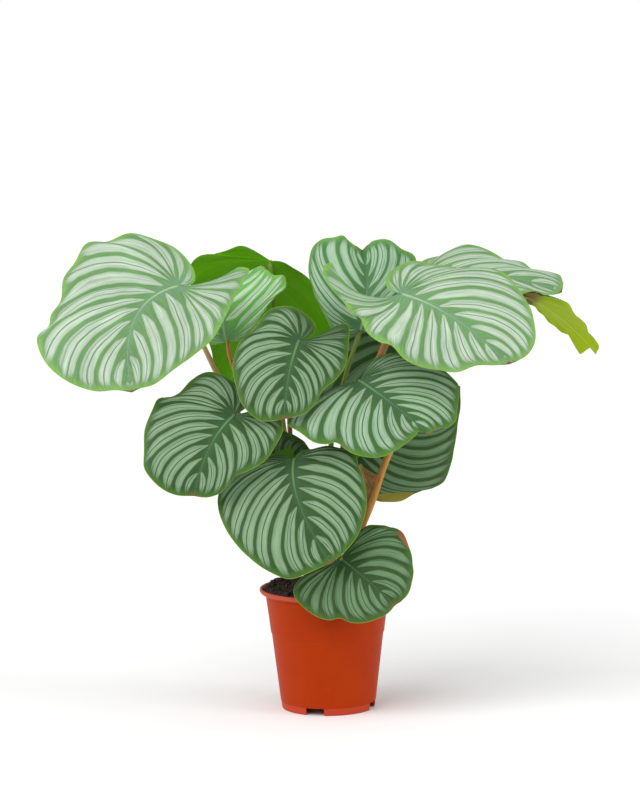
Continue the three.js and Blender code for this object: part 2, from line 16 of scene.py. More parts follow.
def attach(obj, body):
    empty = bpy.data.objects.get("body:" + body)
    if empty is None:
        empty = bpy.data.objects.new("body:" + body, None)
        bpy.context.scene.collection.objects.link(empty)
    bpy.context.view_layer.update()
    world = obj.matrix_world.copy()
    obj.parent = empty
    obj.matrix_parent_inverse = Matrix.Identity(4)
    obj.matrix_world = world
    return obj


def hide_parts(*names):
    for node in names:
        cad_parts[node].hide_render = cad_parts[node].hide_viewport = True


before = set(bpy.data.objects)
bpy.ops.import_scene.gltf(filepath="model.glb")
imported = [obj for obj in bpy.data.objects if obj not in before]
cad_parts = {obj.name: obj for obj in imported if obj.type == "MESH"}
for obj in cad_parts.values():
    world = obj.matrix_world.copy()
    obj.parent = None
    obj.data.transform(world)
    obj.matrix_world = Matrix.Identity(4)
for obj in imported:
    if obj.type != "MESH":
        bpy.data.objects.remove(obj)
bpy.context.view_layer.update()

BODY = "root"
MM = 0.001

# Camera: the photograph is 640 x 800 pixels
EYE = np.array((0.0, -3600.0, 800.0))
CAMERA_YAW = math.radians(-0.0939)
CAMERA_PITCH = math.radians(-6.623)
CAMERA_ROLL = math.radians(0.7)
LENS_PIXELS = 2959
PHOTO_HEIGHT = 800
SENSOR = 36

# Light
STUDIO_LIGHT = 1.45    # a tone looks this much brighter in the studio light
AMBIENT = 0.65         # the white backdrop lights the plant this much, and the camera sees it as 1
FLOOR_REACH, FLOOR_SIDES = 60000, 96

# Leaf blades
BLADE_THICKNESS = 0.7
RIM_THICKNESS = 0.35
CAD_THICKNESS = 1.0
GAP = 0.3
VEIN_BOW = 0.2         # forward bow of a side vein, as a share of its length
VEIN_ARCH = 0.05       # how far a side vein rises out of the blade, as a share of its length
BOW_START = 0.3        # the bow grows to its full size over this share of the margin
BOW_PER_TURN = 0.2     # the bow grows this much for each radian between neighbouring veins
BOW_SETTLE = 0.8       # and this much along the margin, past the fan
ROOM_USED = 0.8        # the bow takes this much of the room up to the margin
VEIN_PACE = 0.62       # side veins leave the midrib this evenly, and the last ones rush up to the tip
VEIN_RUSH = 7
MARGIN_SAMPLES = 60
FAN_ROWS = 44          # rows of mesh on each half that spread from the joint
MIDRIB_ROWS = 62       # rows of mesh on each half that leave the midrib
ROWS = FAN_ROWS + MIDRIB_ROWS + 1
ACROSS = np.r_[0, 0.008, 0.018, 0.032, 0.05, 0.075, np.linspace(0.105, 0.97, 17), 0.99, 1]
WIDTH = len(ACROSS)    # points of mesh from the midrib to the margin
TIP_BANDS = 1.7        # as the last veins rush to the tip, this many more silver bands crowd in
BAND_SWEEP = 0.6       # at the margin the bands have swept this many bands towards the tip
SWEEP_POWER = 5
LEAF_BANDS = 40        # bands are numbered through the plant, this many to a leaf, half of them to each side
FIRST_BAND = 62        # and from this number up
PLEAT = 0.55           # height of the soft pleat that each silver band makes
RIPPLE = 0.8           # height of the waves along the margin
RIB = 0.5              # how far the midrib stands out on the upper side at the joint
RIB_WIDTH = 1.5
KEEL = 1.5             # how far the midrib stands out under the blade at the joint
KEEL_WIDTH = 2.2

# Stalks
STALK_SIDES = 20
STALK_STEPS = 90
STALK_RISE = 9
STALK_SUNK = 6         # how far a stalk goes down into the soil
KNEE_LENGTH = 26       # the slightly swollen end below the blade
KNEE_SWELL = 0.22
CHANNEL_DEPTH = 0.13   # a shallow channel runs up the stalk, as a share of its radius
TAIL_STEPS = 16        # the stalk's run into the keel under the blade
TAIL_RADIUS = 0.7

# Pot
ROUND_SEGMENTS = 168
RIM_RADIUS = 83.4
POT_HEIGHT = 150
WALL = 1.8
RIM_FOOT_Z = 140.5     # the rim leaves the wall at this height
RIM_STEP = 0.8         # and stands out from it this much there
WALL_TOP_RADIUS, WALL_TOP_Z = 76, 142
WALL_FOOT_RADIUS, WALL_FOOT_Z = 57.9, 2
STEP_Z = 95
STEP_OUT = 0.9
FOOT_HEIGHT = 9
FOOT_RADIUS = 57.5
FOOT_WALL = 3
FOOT_STEP = 0.5        # the wall steps out by this much above the foot ring
FLOOR_TOP = 11
CORNER_RADIUS = 1.2
NOTCH_COUNT = 4
NOTCH_WIDTH = 23
NOTCH_REACH = 8        # a notch is cut this far in and out from FOOT_RADIUS
NOTCH_TURN = math.radians(-107)
DRAIN_RADIUS = 4.5
DRAIN_CIRCLE = 40
DRAIN_SEGMENTS = 32
DRAIN_CUT = (-2, 20)   # the holes are cut between these heights

# Soil
SOIL_EDGE_RADIUS, SOIL_EDGE_Z = 79.5, 149.4
SOIL_SHOULDER_RADIUS, SOIL_SHOULDER_Z = 74, 151.3
SOIL_TOP = 154
SOIL_RINGS, SOIL_SEGMENTS = 46, 144
MOUND_RADIUS = 39
CLUMP = (-62, 38)      # a heap of soil near the rim, at the back on the left
CLUMP_HEIGHT = 6
CLUMP_SPREAD = 12
CRUMBS = 1500

# Sheath: x and z along its two edges, from the free end to the stalk
SHEATH_LOW = [(49, 250), (53, 254), (57, 260), (61, 269), (65, 279)]
SHEATH_HIGH = [(40, 298), (43, 303), (49, 295), (56, 291), (68, 288)]
SHEATH_ROWS, SHEATH_COLUMNS = 34, 26
SHEATH_DEPTH = -24
SHEATH_THICKNESS = 0.5

# Each leaf: joint is where the stalk meets the blade and depth is how far that is behind the pot's axis.
# lean is how much deeper the blade gets per millimetre to the right and per millimetre up. left and right
# run along the margin from the joint to the tip; a lift of 0 is left out. fan is the share of each margin
# whose veins spread from the joint, bands is the number of silver bands on each half, and bow replaces
# VEIN_BOW. shows is "under" where the underside faces the front. foot is where the stalk stands in the
# soil, radii is its radius and tones its tones from the soil to the blade, and through is the x, z and
# depth of each point that it passes. Tones are red, green and blue from 0 to 255.
LEAVES = {
    "far_left": dict(
        joint=(-178, 524), depth=-42, lean=(0.05, 0.5), midrib=(-232, 482, -8), tip=(-236, 394, 10),
        fan=(0.5, 0.68), bands=(12, 10), palette="bright",
        left=[(-158, 527.4), (-158, 544), (-180, 571, 2), (-207, 582), (-235, 589, 4), (-262, 580),
              (-287, 578, 4), (-303, 553), (-317, 535, 3), (-321, 508, -2), (-333, 490), (-336, 476, 2),
              (-350, 465, 5), (-350, 452, 6), (-338, 428, 6), (-312, 407, 8), (-280, 396, 10),
              (-255, 397, 8)],
        right=[(-150, 528, 4), (-122, 532, 10), (-104, 546, 2), (-90, 543, -6), (-98, 527, -14),
               (-109, 508, -10), (-120, 486, -4), (-135, 460), (-158, 440, 2), (-185, 421, 2),
               (-208, 404, 4), (-228, 398, 8)],
        foot=(-24, 6), radii=(5.2, 4.6, 3.8, 2.6),
        through=[(-58, 258, -4), (-98, 348, -14), (-136, 426, -18), (-166, 492, -22)],
        tones=((150, 128, 60), (224, 184, 120), (234, 198, 140))),
    "folded_left": dict(
        joint=(-119, 455), depth=4, lean=(0.05, 0.3), midrib=(-116, 504, -4), tip=(-73, 549, 12),
        fan=(0.45, 0.75), bands=(8, 9), palette="lime",
        left=[(-138, 452, 6), (-158, 478, 8), (-156, 508, 8), (-130, 526, 7), (-98, 538, 8)],
        right=[(-100, 457, 4), (-84, 472, 2), (-72, 493), (-60, 509, 2), (-46, 521, 4), (-48, 535, 8),
               (-62, 537, 8)],
        foot=(-14, 17), radii=(4.4, 3.8, 3, 2.2), through=[(-48, 260, 20), (-92, 372, 16), (-114, 432, 10)],
        tones=((146, 110, 40), (208, 134, 60), (216, 142, 66))),
    "drooping_back": dict(
        joint=(-64, 553), depth=50, lean=(0, -0.52), midrib=(-88, 474, 8), tip=(-118, 398, 0),
        fan=(0.42, 0.42), bands=(10, 10), palette="bright", shows="under",
        left=[(-80, 562, -2), (-94, 571), (-104, 572, 2), (-128, 563, 4), (-150, 561), (-162, 548, 2),
              (-160, 515), (-150, 480, 2), (-139, 448), (-132, 418, 2)],
        right=[(-50, 552), (-36, 543), (-17, 531, 2), (-1, 508), (11, 484, 2), (12, 460, 2), (0, 434),
               (-26, 414), (-60, 402), (-90, 397)],
        foot=(-4, 24), radii=(4.2, 3.8, 3.2, 2.6), through=[(-30, 250, 36), (-50, 345, 42), (-58, 450, 48)],
        tones=((140, 124, 44), (140, 150, 46), (104, 150, 28))),
    "upper_middle": dict(
        joint=(-31, 455), depth=-58, lean=(0.05, 0.5), midrib=(-44, 412, -7), tip=(-50, 359, 8),
        fan=(0.55, 0.62), bands=(11, 11), palette="deep",
        left=[(-13, 465, 2), (-11, 474, 2), (-23, 489, 2), (-42, 497), (-65, 495, 2), (-84, 472),
              (-102, 455, 2), (-112, 430, 2), (-109, 402, 2), (-103, 381, 3), (-92, 366, 5), (-78, 357, 7),
              (-62, 357, 6)],
        right=[(-14, 460), (2, 464, 4), (16, 474, 4), (29, 474), (30, 452, -6), (26, 425, -4), (15, 408, -2),
               (-1, 395), (-12, 378, 2), (-24, 366, 4), (-38, 361, 6)],
        foot=(-9, -9), radii=(4.4, 3.8, 3.2, 2.4),
        through=[(-36, 250, -14), (-43, 345, -18), (-42, 420, -34)],
        tones=((150, 110, 50), (160, 96, 48), (150, 90, 50))),
    "top": dict(
        joint=(45, 468), depth=-4, lean=(0, 0.3), midrib=(53, 520, -2), tip=(48, 565, 16), fan=(0.5, 0.5),
        bands=(10, 10), palette="cool",
        left=[(32, 462), (14, 464, -4), (2, 484, -4), (-11, 512, -2), (-18, 542), (-14, 566, 2),
              (-2, 579, 4), (14, 581, 2), (25, 583, 2), (36, 573, 8)],
        right=[(62, 462), (90, 472, 2), (106, 500, 4), (114, 534, 4), (111, 557, 2), (95, 567), (80, 577, 2),
               (62, 577, 4), (54, 571, 10)],
        foot=(4, 8), radii=(4.4, 3.8, 3.4, 2.6), through=[(4, 260, 8), (10, 350, 6), (26, 412, 2)],
        tones=((130, 130, 46), (124, 142, 44), (130, 156, 56))),
    "upper_right": dict(
        joint=(95, 511), depth=-66, lean=(0.1, 0.5), midrib=(158, 481, -6), tip=(226, 423, 8),
        fan=(0.5, 0.6), bands=(10, 13), palette="bright",
        left=[(72, 511, 6), (48, 512, 8), (32, 518, 4), (20, 533, 2), (12, 549), (2, 548, -4), (0, 537, -6),
              (10, 518, -6), (25, 501, -6), (33, 488, -6), (44, 482, -2), (52, 465), (68, 452, 2), (82, 448),
              (98, 431, 2), (118, 421, 4), (140, 417, 4), (162, 414, 4), (186, 422, 2), (208, 422, 4)],
        right=[(80, 516, -2), (76, 530), (92, 546, 4), (116, 551, 2), (145, 545), (180, 541, 2), (214, 539),
               (232, 523, 2), (248, 500), (257, 475, 2), (258, 453, 4), (250, 436, 6), (238, 428, 6)],
        foot=(12, -6), radii=(4.8, 4.2, 3.6, 2.8),
        through=[(22, 260, -10), (48, 390, -26), (70, 442, -36), (88, 490, -48)],
        tones=((160, 118, 50), (186, 118, 56), (172, 112, 60))),
    "edge_right": dict(
        joint=(122, 536), depth=36, lean=(0.02, 1.9), midrib=(205, 533, -4), tip=(291, 511, 0),
        fan=(0.5, 0.5), bands=(9, 10), palette="bright",
        left=[(113, 543, 2), (122, 551, -4), (148, 559, -14), (178, 571, -24), (203, 562, -14),
              (226, 550, -2), (243, 547, -4), (264, 534, 8), (287, 532, 4), (292, 524, 2)],
        right=[(118, 526, 2), (130, 514, 2), (165, 506, -2), (205, 504, -4), (238, 508, -8), (258, 512, -10),
               (272, 508, -2), (284, 508)],
        foot=(15, 14), radii=(4.6, 4, 3.4, 2.4),
        through=[(22, 260, 6), (38, 340, -8), (58, 400, -2), (90, 480, 14)],
        tones=((146, 130, 54), (158, 140, 60), (150, 150, 70))),
    "far_right": dict(
        joint=(243, 509), depth=20, lean=(0, 0), midrib=(292, 477, 10), tip=(332, 434, 14), fan=(0.35, 0.35),
        bands=(7, 7), palette="bright", shows="under",
        left=[(246, 499, 14), (256, 494, 30), (267, 483, 42), (281, 469, 48), (294, 460, 46), (304, 455, 42),
              (309, 447, 38), (313, 435, 32), (320, 439, 24), (326, 442, 18)],
        right=[(252, 516, -8), (264, 508, -24), (282, 503, -36), (297, 498, -40), (305, 486, -37),
               (319, 471, -28), (326, 457, -15), (336, 445, 2)],
        foot=(24, 0), radii=(5.4, 4.7, 4, 3.4, 2.5),
        through=[(36, 205, -18), (57, 256, -28), (78, 314, -32), (123, 392, -22), (190, 462, 2)],
        tones=((196, 128, 44), (206, 148, 58), (172, 160, 70))),
    "middle_right": dict(
        joint=(43, 405), depth=-58, lean=(0.05, 0.5), midrib=(84, 375, -7), tip=(128, 336, 8),
        fan=(0.5, 0.55), bands=(11, 14), palette="mid",
        left=[(28, 402, 2), (2, 392), (-18, 379), (-38, 365, 4), (-47, 354), (-31, 342, -2), (-14, 330),
              (0, 327, 2), (13, 329, 6), (30, 317, 2), (48, 311, 2), (70, 311, 2), (90, 321, 4),
              (108, 334, 4), (117, 343, 8)],
        right=[(50, 417, 2), (66, 434), (92, 438, 2), (124, 427, 2), (150, 414, 2), (161, 402, 4),
               (165, 392, 2), (162, 370, 2), (160, 354, 4), (148, 346, 6), (138, 346, 8)],
        foot=(8, -19), radii=(4.4, 3.8, 3.2, 2.4), through=[(14, 250, -30), (24, 340, -42), (36, 386, -50)],
        tones=((140, 120, 50), (150, 130, 54), (140, 140, 64))),
    "right_back": dict(
        joint=(32, 300), depth=16, lean=(0.15, 0.3), midrib=(82, 352, 4), tip=(166, 397, 4), fan=(0.3, 0.42),
        bands=(9, 16), bow=0.34, palette="dark",
        left=[(32, 318), (52, 350, 2), (82, 377, 2), (116, 393, 2), (146, 400, 2)],
        right=[(28, 286), (36, 271), (52, 260, -2), (72, 255, -8), (93, 256, -6), (110, 265, -2), (132, 272),
               (146, 280), (153, 298), (158, 318), (162, 345), (166, 372)],
        foot=(27, 13), radii=(4.4, 3.6, 2.6), through=[(34, 215, 18), (36, 265, 30)],
        tones=((130, 110, 46), (140, 120, 50), (120, 120, 54))),
    "middle_left": dict(
        joint=(-112, 364), depth=-84, lean=(0.05, 0.45), midrib=(-142, 325, -8), tip=(-163, 265, 8),
        fan=(0.56, 0.58), bands=(12, 10), palette="deep",
        left=[(-100, 371, 3), (-95, 377, 3), (-97, 388, 2), (-106, 402, 2), (-120, 412), (-142, 418, 2),
              (-163, 409), (-178, 393), (-190, 387, 2), (-204, 386, 4), (-212, 372), (-221, 348, 2),
              (-223, 320, 2), (-223, 301, 2), (-213, 285, 4), (-198, 272, 6), (-183, 266, 8)],
        right=[(-98, 367, 1), (-86, 369), (-66, 362, 2), (-54, 357), (-52, 344, -2), (-60, 328, -2),
               (-74, 308), (-92, 297, 2), (-112, 288, 2), (-121, 277, 2), (-132, 267, 4), (-147, 263, 6)],
        foot=(-23, -11), radii=(4.4, 3.8, 3, 2.2),
        through=[(-44, 225, -38), (-66, 290, -64), (-92, 340, -74)],
        tones=((150, 128, 54), (158, 140, 60), (140, 144, 66))),
    "front": dict(
        joint=(-39, 309), depth=-76, lean=(0, 0.45), midrib=(-33, 253, -8), tip=(5, 179, 8),
        fan=(0.48, 0.48), bands=(11, 10), palette="deep",
        left=[(-58, 315, 4), (-86, 307, 2), (-114, 290, 2), (-132, 266), (-133, 250, 2), (-127, 230, 2),
              (-112, 205, 2), (-94, 186, 4), (-72, 170, 6), (-46, 160, 8), (-24, 167, 8), (-8, 174, 8)],
        right=[(-32, 318, 2), (-10, 323, 2), (12, 324), (34, 316, 2), (41, 300), (47, 280, 2), (50, 260),
               (47, 236, 2), (38, 213, 4), (26, 197, 6), (14, 186, 8)],
        foot=(-10, -22), radii=(4.4, 3.6, 2.6), through=[(-24, 220, -40), (-36, 280, -58)],
        tones=((150, 110, 60), (150, 130, 60), (130, 150, 70))),
    "low_front": dict(
        joint=(18, 184), depth=-76, lean=(0.05, 0.45), midrib=(46, 161, -7), tip=(84, 126, 6),
        fan=(0.56, 0.55), bands=(10, 10), palette="dark",
        left=[(6, 181, 2), (-12, 171), (-30, 163, 2), (-41, 150), (-40, 137), (-28, 123, 2), (-12, 112, 2),
              (2, 108, 4), (15, 110, 7), (28, 105, 4), (44, 104, 2), (62, 109, 2), (75, 116, 4)],
        right=[(22, 194, 2), (31, 212, 2), (46, 223, 4), (62, 227, 2), (76, 224), (90, 220, 6), (99, 206, 2),
               (106, 180, 2), (106, 160, 2), (101, 142, 4), (92, 131, 4)],
        foot=(14, -31), radii=(4, 3.4, 2.6), through=[(18, 166, -50)],
        tones=((150, 100, 70), (176, 116, 90), (190, 130, 100))),
    "inner": dict(
        joint=(92, 470), depth=72, lean=(0.1, 0.3), midrib=(86, 424, -3), tip=(76, 374, 2), fan=(0.42, 0.42),
        bands=(9, 9), palette="dark",
        left=[(74, 480, 2), (48, 480), (20, 468), (2, 444), (-8, 414), (-8, 382), (24, 366), (54, 370)],
        right=[(104, 478, 2), (120, 464), (126, 438), (122, 408), (106, 384), (90, 374)],
        foot=(12, 27), radii=(4.4, 3.8, 3.2, 2.4), through=[(30, 260, 46), (66, 370, 84), (84, 440, 86)],
        tones=((140, 120, 46), (150, 136, 50), (130, 140, 54))),
    "young": dict(
        joint=(-64, 294), depth=-38, lean=(0, 0.2), midrib=(-44, 312, 2), tip=(-19, 321, 4),
        fan=(0.42, 0.42), bands=(6, 6), palette="dark",
        left=[(-74, 304), (-76, 324, 2), (-65, 340, 2), (-52, 344, 2), (-38, 339, 2), (-27, 332, 2)],
        right=[(-54, 284), (-38, 282), (-24, 294), (-17, 308)],
        foot=(-17, -3), radii=(3.8, 3.2, 2.2), through=[(-42, 215, -12), (-60, 266, -24)],
        tones=((146, 116, 54), (140, 130, 56), (116, 130, 56))),
}

# Tones of a leaf's upper side, and how far the bands beside the notch at the joint are lost in the green
# painted light: bright paints the light on the top leaves, and mid, deep and dark are darker copies that
# paint the shade on the lower and inner leaves
PALETTES = {
    "bright": dict(
        silver=(195, 215, 191), green=(110, 157, 95), line=(104, 142, 102), margin=(130, 186, 84),
        centre=(114, 158, 113), midrib=(176, 210, 156), notch=0.5),
    "lime": dict(
        silver=(208, 242, 200), green=(116, 196, 90), line=(104, 160, 92), margin=(140, 206, 80),
        centre=(122, 186, 116), midrib=(170, 212, 140), notch=0.5),
    "cool": dict(
        silver=(168, 202, 168), green=(72, 130, 66), line=(62, 108, 62), margin=(102, 164, 66),
        centre=(80, 130, 82), midrib=(150, 190, 130), notch=0.3),
    "mid": dict(
        silver=(161, 194, 158), green=(61, 107, 46), line=(50, 90, 46), margin=(80, 136, 24),
        centre=(61, 105, 61), midrib=(114, 158, 96), notch=0.8),
    "deep": dict(
        silver=(136, 170, 129), green=(44, 84, 26), line=(40, 75, 34), margin=(68, 120, 14),
        centre=(51, 93, 46), midrib=(110, 152, 90), notch=0.8),
    "dark": dict(
        silver=(112, 150, 104), green=(46, 84, 26), line=(40, 70, 30), margin=(70, 112, 22),
        centre=(46, 84, 38), midrib=(90, 132, 72), notch=0.6),
}

# Tones of an underside: the blade, its veins and its midrib
UNDERSIDES = {
    "far_right": ("underside_olive", (174, 210, 8), (198, 224, 40), (208, 226, 100)),
    # painted light: drooping_back's underside is brightened and saturated to paint the light shining through
    # the blade from behind
    "drooping_back": ("underside_lit", (98, 176, 0), (114, 192, 0), (130, 188, 30)),
    "other": ("underside_green", (98, 136, 50), (128, 160, 78), (150, 176, 100)),
}

# Discoloured patches, seen from the front: x, z, turn, half length, half width and blur, and then the tone
UPPER_MARKS = {
    "right_back": [((80, 259, 0, 28, 5.5, 1), (150, 142, 32))],
    "young": [((-55, 316, 20, 17, 8, 1), (100, 156, 14))],
    "low_front": [((94, 219, -50, 11, 3.5, 1), (150, 104, 56)), ((98, 213, -60, 5, 2.5, 1), (166, 92, 62))],
}
UNDER_MARKS = {
    "far_right": [((248, 508, -30, 18, 14, 9), (142, 122, 68))],
}


# ---- curves and planes

def unit(v):
    return v / norm(v)


def smoothstep(x, low, high):
    t = np.clip((np.asarray(x, float) - low) / (high - low), 0, 1)
    return t * t * (3 - 2 * t)


def slide_to_depth(x, z, depth):
    """The point seen at x, z on the upright plane through the pot's axis, moved along its line of sight."""
    return EYE + (np.array((x, 0.0, z)) - EYE) * (1 - depth / EYE[1])


def lengths_along(points):
    return np.r_[0, np.cumsum(norm(np.diff(points, axis=0), axis=1))]


def blend(a, b, start, end, t):
    """Runs from a, where t is start, to b, where it is end."""
    return (end - t) / (end - start) * a + (t - start) / (end - start) * b


def smooth_curve(points, per_span=24):
    """A centripetal Catmull-Rom curve through the points: dense points, and how far along each one is."""
    points = [np.array(p, float) for p in points]
    padded = [2 * points[0] - points[1], *points, 2 * points[-1] - points[-2]]
    dense = []
    for span in zip(padded, padded[1:], padded[2:], padded[3:]):
        t1, t2, t3 = np.cumsum([norm(b - a) ** 0.5 for a, b in zip(span, span[1:])])
        t = np.linspace(t1, t2, per_span, endpoint=False)[:, None]
        knots = ((0, t1), (t1, t2), (t2, t3))
        first, middle, last = (blend(a, b, *knot, t) for a, b, knot in zip(span, span[1:], knots))
        dense.extend(blend(blend(first, middle, 0, t2, t), blend(middle, last, t1, t3, t), t1, t2, t))
    dense = np.array([*dense, points[-1]])
    return dense, lengths_along(dense)


def point_on(curve, share):
    """The point at a share from 0 to 1 of the curve's length."""
    dense, lengths = curve
    return np.stack([np.interp(share, lengths / lengths[-1], dense[:, k]) for k in range(3)], axis=-1)


def quadratic(a, b, c, t):
    return (1 - t) ** 2 * a + 2 * t * (1 - t) * b + t * t * c


def circle(radius, z, sides):
    return [(radius * math.cos(a), radius * math.sin(a), z) for a in np.arange(sides) * 2 * math.pi / sides]


# ---- meshes

def add_object(name, data):
    made = bpy.data.objects.new(name, data)
    bpy.context.scene.collection.objects.link(made)
    return made


def make_mesh(name, points, faces):
    mesh = bpy.data.meshes.new(name)
    mesh.from_pydata(np.asarray(points, float) * MM, [], faces)
    return mesh


def shade_smooth(mesh, sharp):
    mesh.polygons.foreach_set("use_smooth", np.ones(len(mesh.polygons), bool))
    mesh.set_sharp_from_angle(angle=math.radians(sharp))


def make_piece(name, points, faces, materials, slot, replaced, uvs=None, slots=None, sharp=50):
    """A smooth-shaded piece from points in millimetres. uvs has a pair of numbers for each face corner."""
    mesh = make_mesh(name, points, faces)
    for material in materials:
        mesh.materials.append(material)
    if slots is not None:
        mesh.polygons.foreach_set("material_index", np.asarray(slots, np.int32))
    for layer, pairs in (uvs or {}).items():
        mesh.uv_layers.new(name=layer).uv.foreach_set("vector", np.asarray(pairs, np.float32).ravel())
    shade_smooth(mesh, sharp)
    mesh.update()
    piece = add_object(name, mesh)
    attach(piece, BODY)
    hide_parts(replaced)
    return piece


def ring_faces(rings, sides):
    """The faces between rings of points that lie one after the other."""
    turns = [(k, (k + 1) % sides) for k in range(sides)]
    return [[a + k, a + n, a + sides + n, a + sides + k]
            for a in range(0, (rings - 1) * sides, sides) for k, n in turns]


def tube_faces(rings, sides):
    """The faces of a closed tube: its wall and its two ends."""
    ends = [list(range(sides))[::-1], [(rings - 1) * sides + k for k in range(sides)]]
    return ring_faces(rings, sides) + ends


def vertex_normals(points, faces):
    normals = np.zeros_like(points)
    corners = np.array([f if len(f) == 4 else [*f, f[2]] for f in faces])
    a, b, c, d = (points[corners[:, k]] for k in range(4))
    across = np.cross(c - a, d - b)
    for k in range(4):
        np.add.at(normals, corners[:, k], across)
    return normals / norm(normals, axis=1)[:, None]


# ---- leaves

def leaf_point(leaf, mark):
    x, z, *lift = mark
    right, up = x - leaf["joint"][0], z - leaf["joint"][1]
    depth = leaf["depth"] + leaf["lean"][0] * right + leaf["lean"][1] * up
    return slide_to_depth(x, z, depth + sum(lift))


def leaf_frame(leaf):
    """The leaf's points in space, with its normal towards the striped upper side."""
    joint, tip = leaf_point(leaf, leaf["joint"]), leaf_point(leaf, leaf["tip"])
    left, right = (
        dict(margin=[leaf_point(leaf, p) for p in leaf[side]], fan=leaf["fan"][k], bands=leaf["bands"][k])
        for k, side in enumerate(("left", "right")))
    across = np.mean(right["margin"], axis=0) - np.mean(left["margin"], axis=0)
    normal = unit(np.cross(tip - joint, across))
    shows_upper = leaf.get("shows", "upper") == "upper"
    if ((EYE - joint) @ normal > 0) != shows_upper:
        left, right, normal = right, left, -normal
    bend = 2 * leaf_point(leaf, leaf["midrib"]) - (joint + tip) / 2
    return dict(joint=joint, tip=tip, bend=bend, left=left, right=right, normal=normal,
                bow=leaf.get("bow", VEIN_BOW))


def turned(a, b, normal, turn):
    """How far b is turned from a in the blade, towards the tip."""
    sine = -turn * np.cross(a, b) @ normal / (norm(a) * norm(b))
    return math.asin(np.clip(sine, -1, 1))


def first_place(blade, places, samples, fan, turn):
    """Where the first vein meets the margin: it reaches furthest back along the notch at the joint."""
    start, furthest = places[1], 0.0
    for place, sample in zip(places[2:], samples[2:]):
        if place > min(fan, 0.35):
            break
        angle = turned(samples[1] - blade["joint"], sample - blade["joint"], blade["normal"], turn)
        if angle < furthest:
            start, furthest = place, angle
    return start


def room_for_bow(inside, reach, forward):
    """The most that a vein can bow and stay inside the margin, also where the margin is hollow."""
    share = inside @ reach / norm(reach) ** 2
    usable = (share > 0.08) & (share < 0.95)
    short = -(inside @ forward)[usable] / norm(reach) ** 2 / (2 * share[usable] * (1 - share[usable]))
    if not short.size:
        return math.inf
    room = -short.max()
    return room * (ROOM_USED if room > 0 else 1.05)


def vein_rows(blade, half, turn):
    """One half of a blade as rows of points from the midrib to the margin; turn is +1 or -1.

    Returns the points, and for each row its place along the margin, from 0 at the first row to 1 at the tip.
    """
    joint, normal, fan = blade["joint"], blade["normal"], half["fan"]
    edge = smooth_curve([joint, *half["margin"], blade["tip"]])
    places = np.arange(MARGIN_SAMPLES + 1) / MARGIN_SAMPLES
    samples = point_on(edge, places)
    start = first_place(blade, places, samples, fan, turn)
    stations = np.r_[np.linspace(start, fan, FAN_ROWS, endpoint=False), np.linspace(fan, 1, MIDRIB_ROWS + 1)]
    w = ACROSS[:, None]
    rows, previous = [], None
    for u in stations[:-1]:
        past = max(0.0, (u - fan) / (1 - fan))
        pace = VEIN_PACE * past + (1 - VEIN_PACE) * past ** VEIN_RUSH
        origin = quadratic(joint, blade["bend"], blade["tip"], pace)
        reach = point_on(edge, u) - origin
        forward = turn * np.cross(normal, reach)
        inside = samples[(places > 0) & (places < u)] - origin
        bow = min(blade["bow"] * min(1, (u - start) / BOW_START), room_for_bow(inside, reach, forward))
        if previous:
            last_reach, last_bow, last_u = previous
            spread = BOW_PER_TURN * max(turned(last_reach, reach, normal, turn), 0)
            bow = min(bow, last_bow + (BOW_SETTLE * (u - last_u) if u > fan else spread))
        previous = reach, bow, u
        vein = quadratic(origin, origin + 0.5 * reach + bow * forward, origin + reach, w)
        rows.append(vein + normal * (VEIN_ARCH * 4 * w * (1 - w) * norm(reach)))
    rows.append(np.tile(blade["tip"], (WIDTH, 1)))
    return np.array(rows), (stations - start) / (1 - start)


def number_points(turn):
    """Point numbers of a half: 0 is the joint, 1 the tip, then the shared midrib, then this half's own."""
    own = 1 + MIDRIB_ROWS + (0 if turn > 0 else (ROWS - 1) * (WIDTH - 1))
    ids = np.zeros((ROWS, WIDTH), int)
    ids[FAN_ROWS + 1:-1, 0] = 2 + np.arange(MIDRIB_ROWS - 1)
    ids[:-1, 1:] = own + np.arange((ROWS - 1) * (WIDTH - 1)).reshape(ROWS - 1, WIDTH - 1)
    ids[-1, :] = 1
    return ids


def blade_half(blade, half, turn, first_band, rng):
    """One half's rows of points, and at each its height, its keel and its pattern numbers."""
    grid, place = vein_rows(blade, half, turn)
    share = np.r_[np.zeros(FAN_ROWS), np.linspace(0, 1, MIDRIB_ROWS + 1)][:, None]
    length = norm(grid[:, -1] - grid[:, 0], axis=1)[:, None]
    inner, outer = ACROSS * length, (1 - ACROSS) * length
    bands = half["bands"] * place[:, None] + TIP_BANDS * share ** VEIN_RUSH
    bands = bands - BAND_SWEEP * ACROSS ** SWEEP_POWER + first_band
    to_tip = norm(grid - blade["tip"], axis=2)
    marks = np.stack(np.broadcast_arrays(bands, ACROSS, inner, outer, share, to_tip), axis=2)
    pleat = PLEAT * np.cos(2 * np.pi * bands) * smoothstep(inner, 4, 30) * (1 - 0.6 * ACROSS)
    phase, waves = rng.uniform(0, 2 * math.pi), rng.uniform(5, 8)
    calm = smoothstep(place, 0, 0.08) * (1 - smoothstep(place, 0.92, 1))
    wave = RIPPLE * ACROSS ** 3 * (calm * np.sin(2 * math.pi * waves * place + phase))[:, None]
    rib = RIB * (1 - share) * np.exp(-(inner / RIB_WIDTH) ** 2)
    keel = KEEL * (1 - 0.85 * share) * np.exp(-(inner / KEEL_WIDTH) ** 2)
    return grid, pleat + wave + rib, keel, marks


def merge_corners(spots, ids, marks):
    """A face's point numbers, each only once, and the pattern numbers there."""
    face, marked = [], []
    for spot in spots:
        if ids[spot] in face:
            k = face.index(ids[spot])
            marked[k] = (marked[k] + marks[spot]) / 2
        else:
            face.append(int(ids[spot]))
            marked.append(marks[spot])
    return face, marked


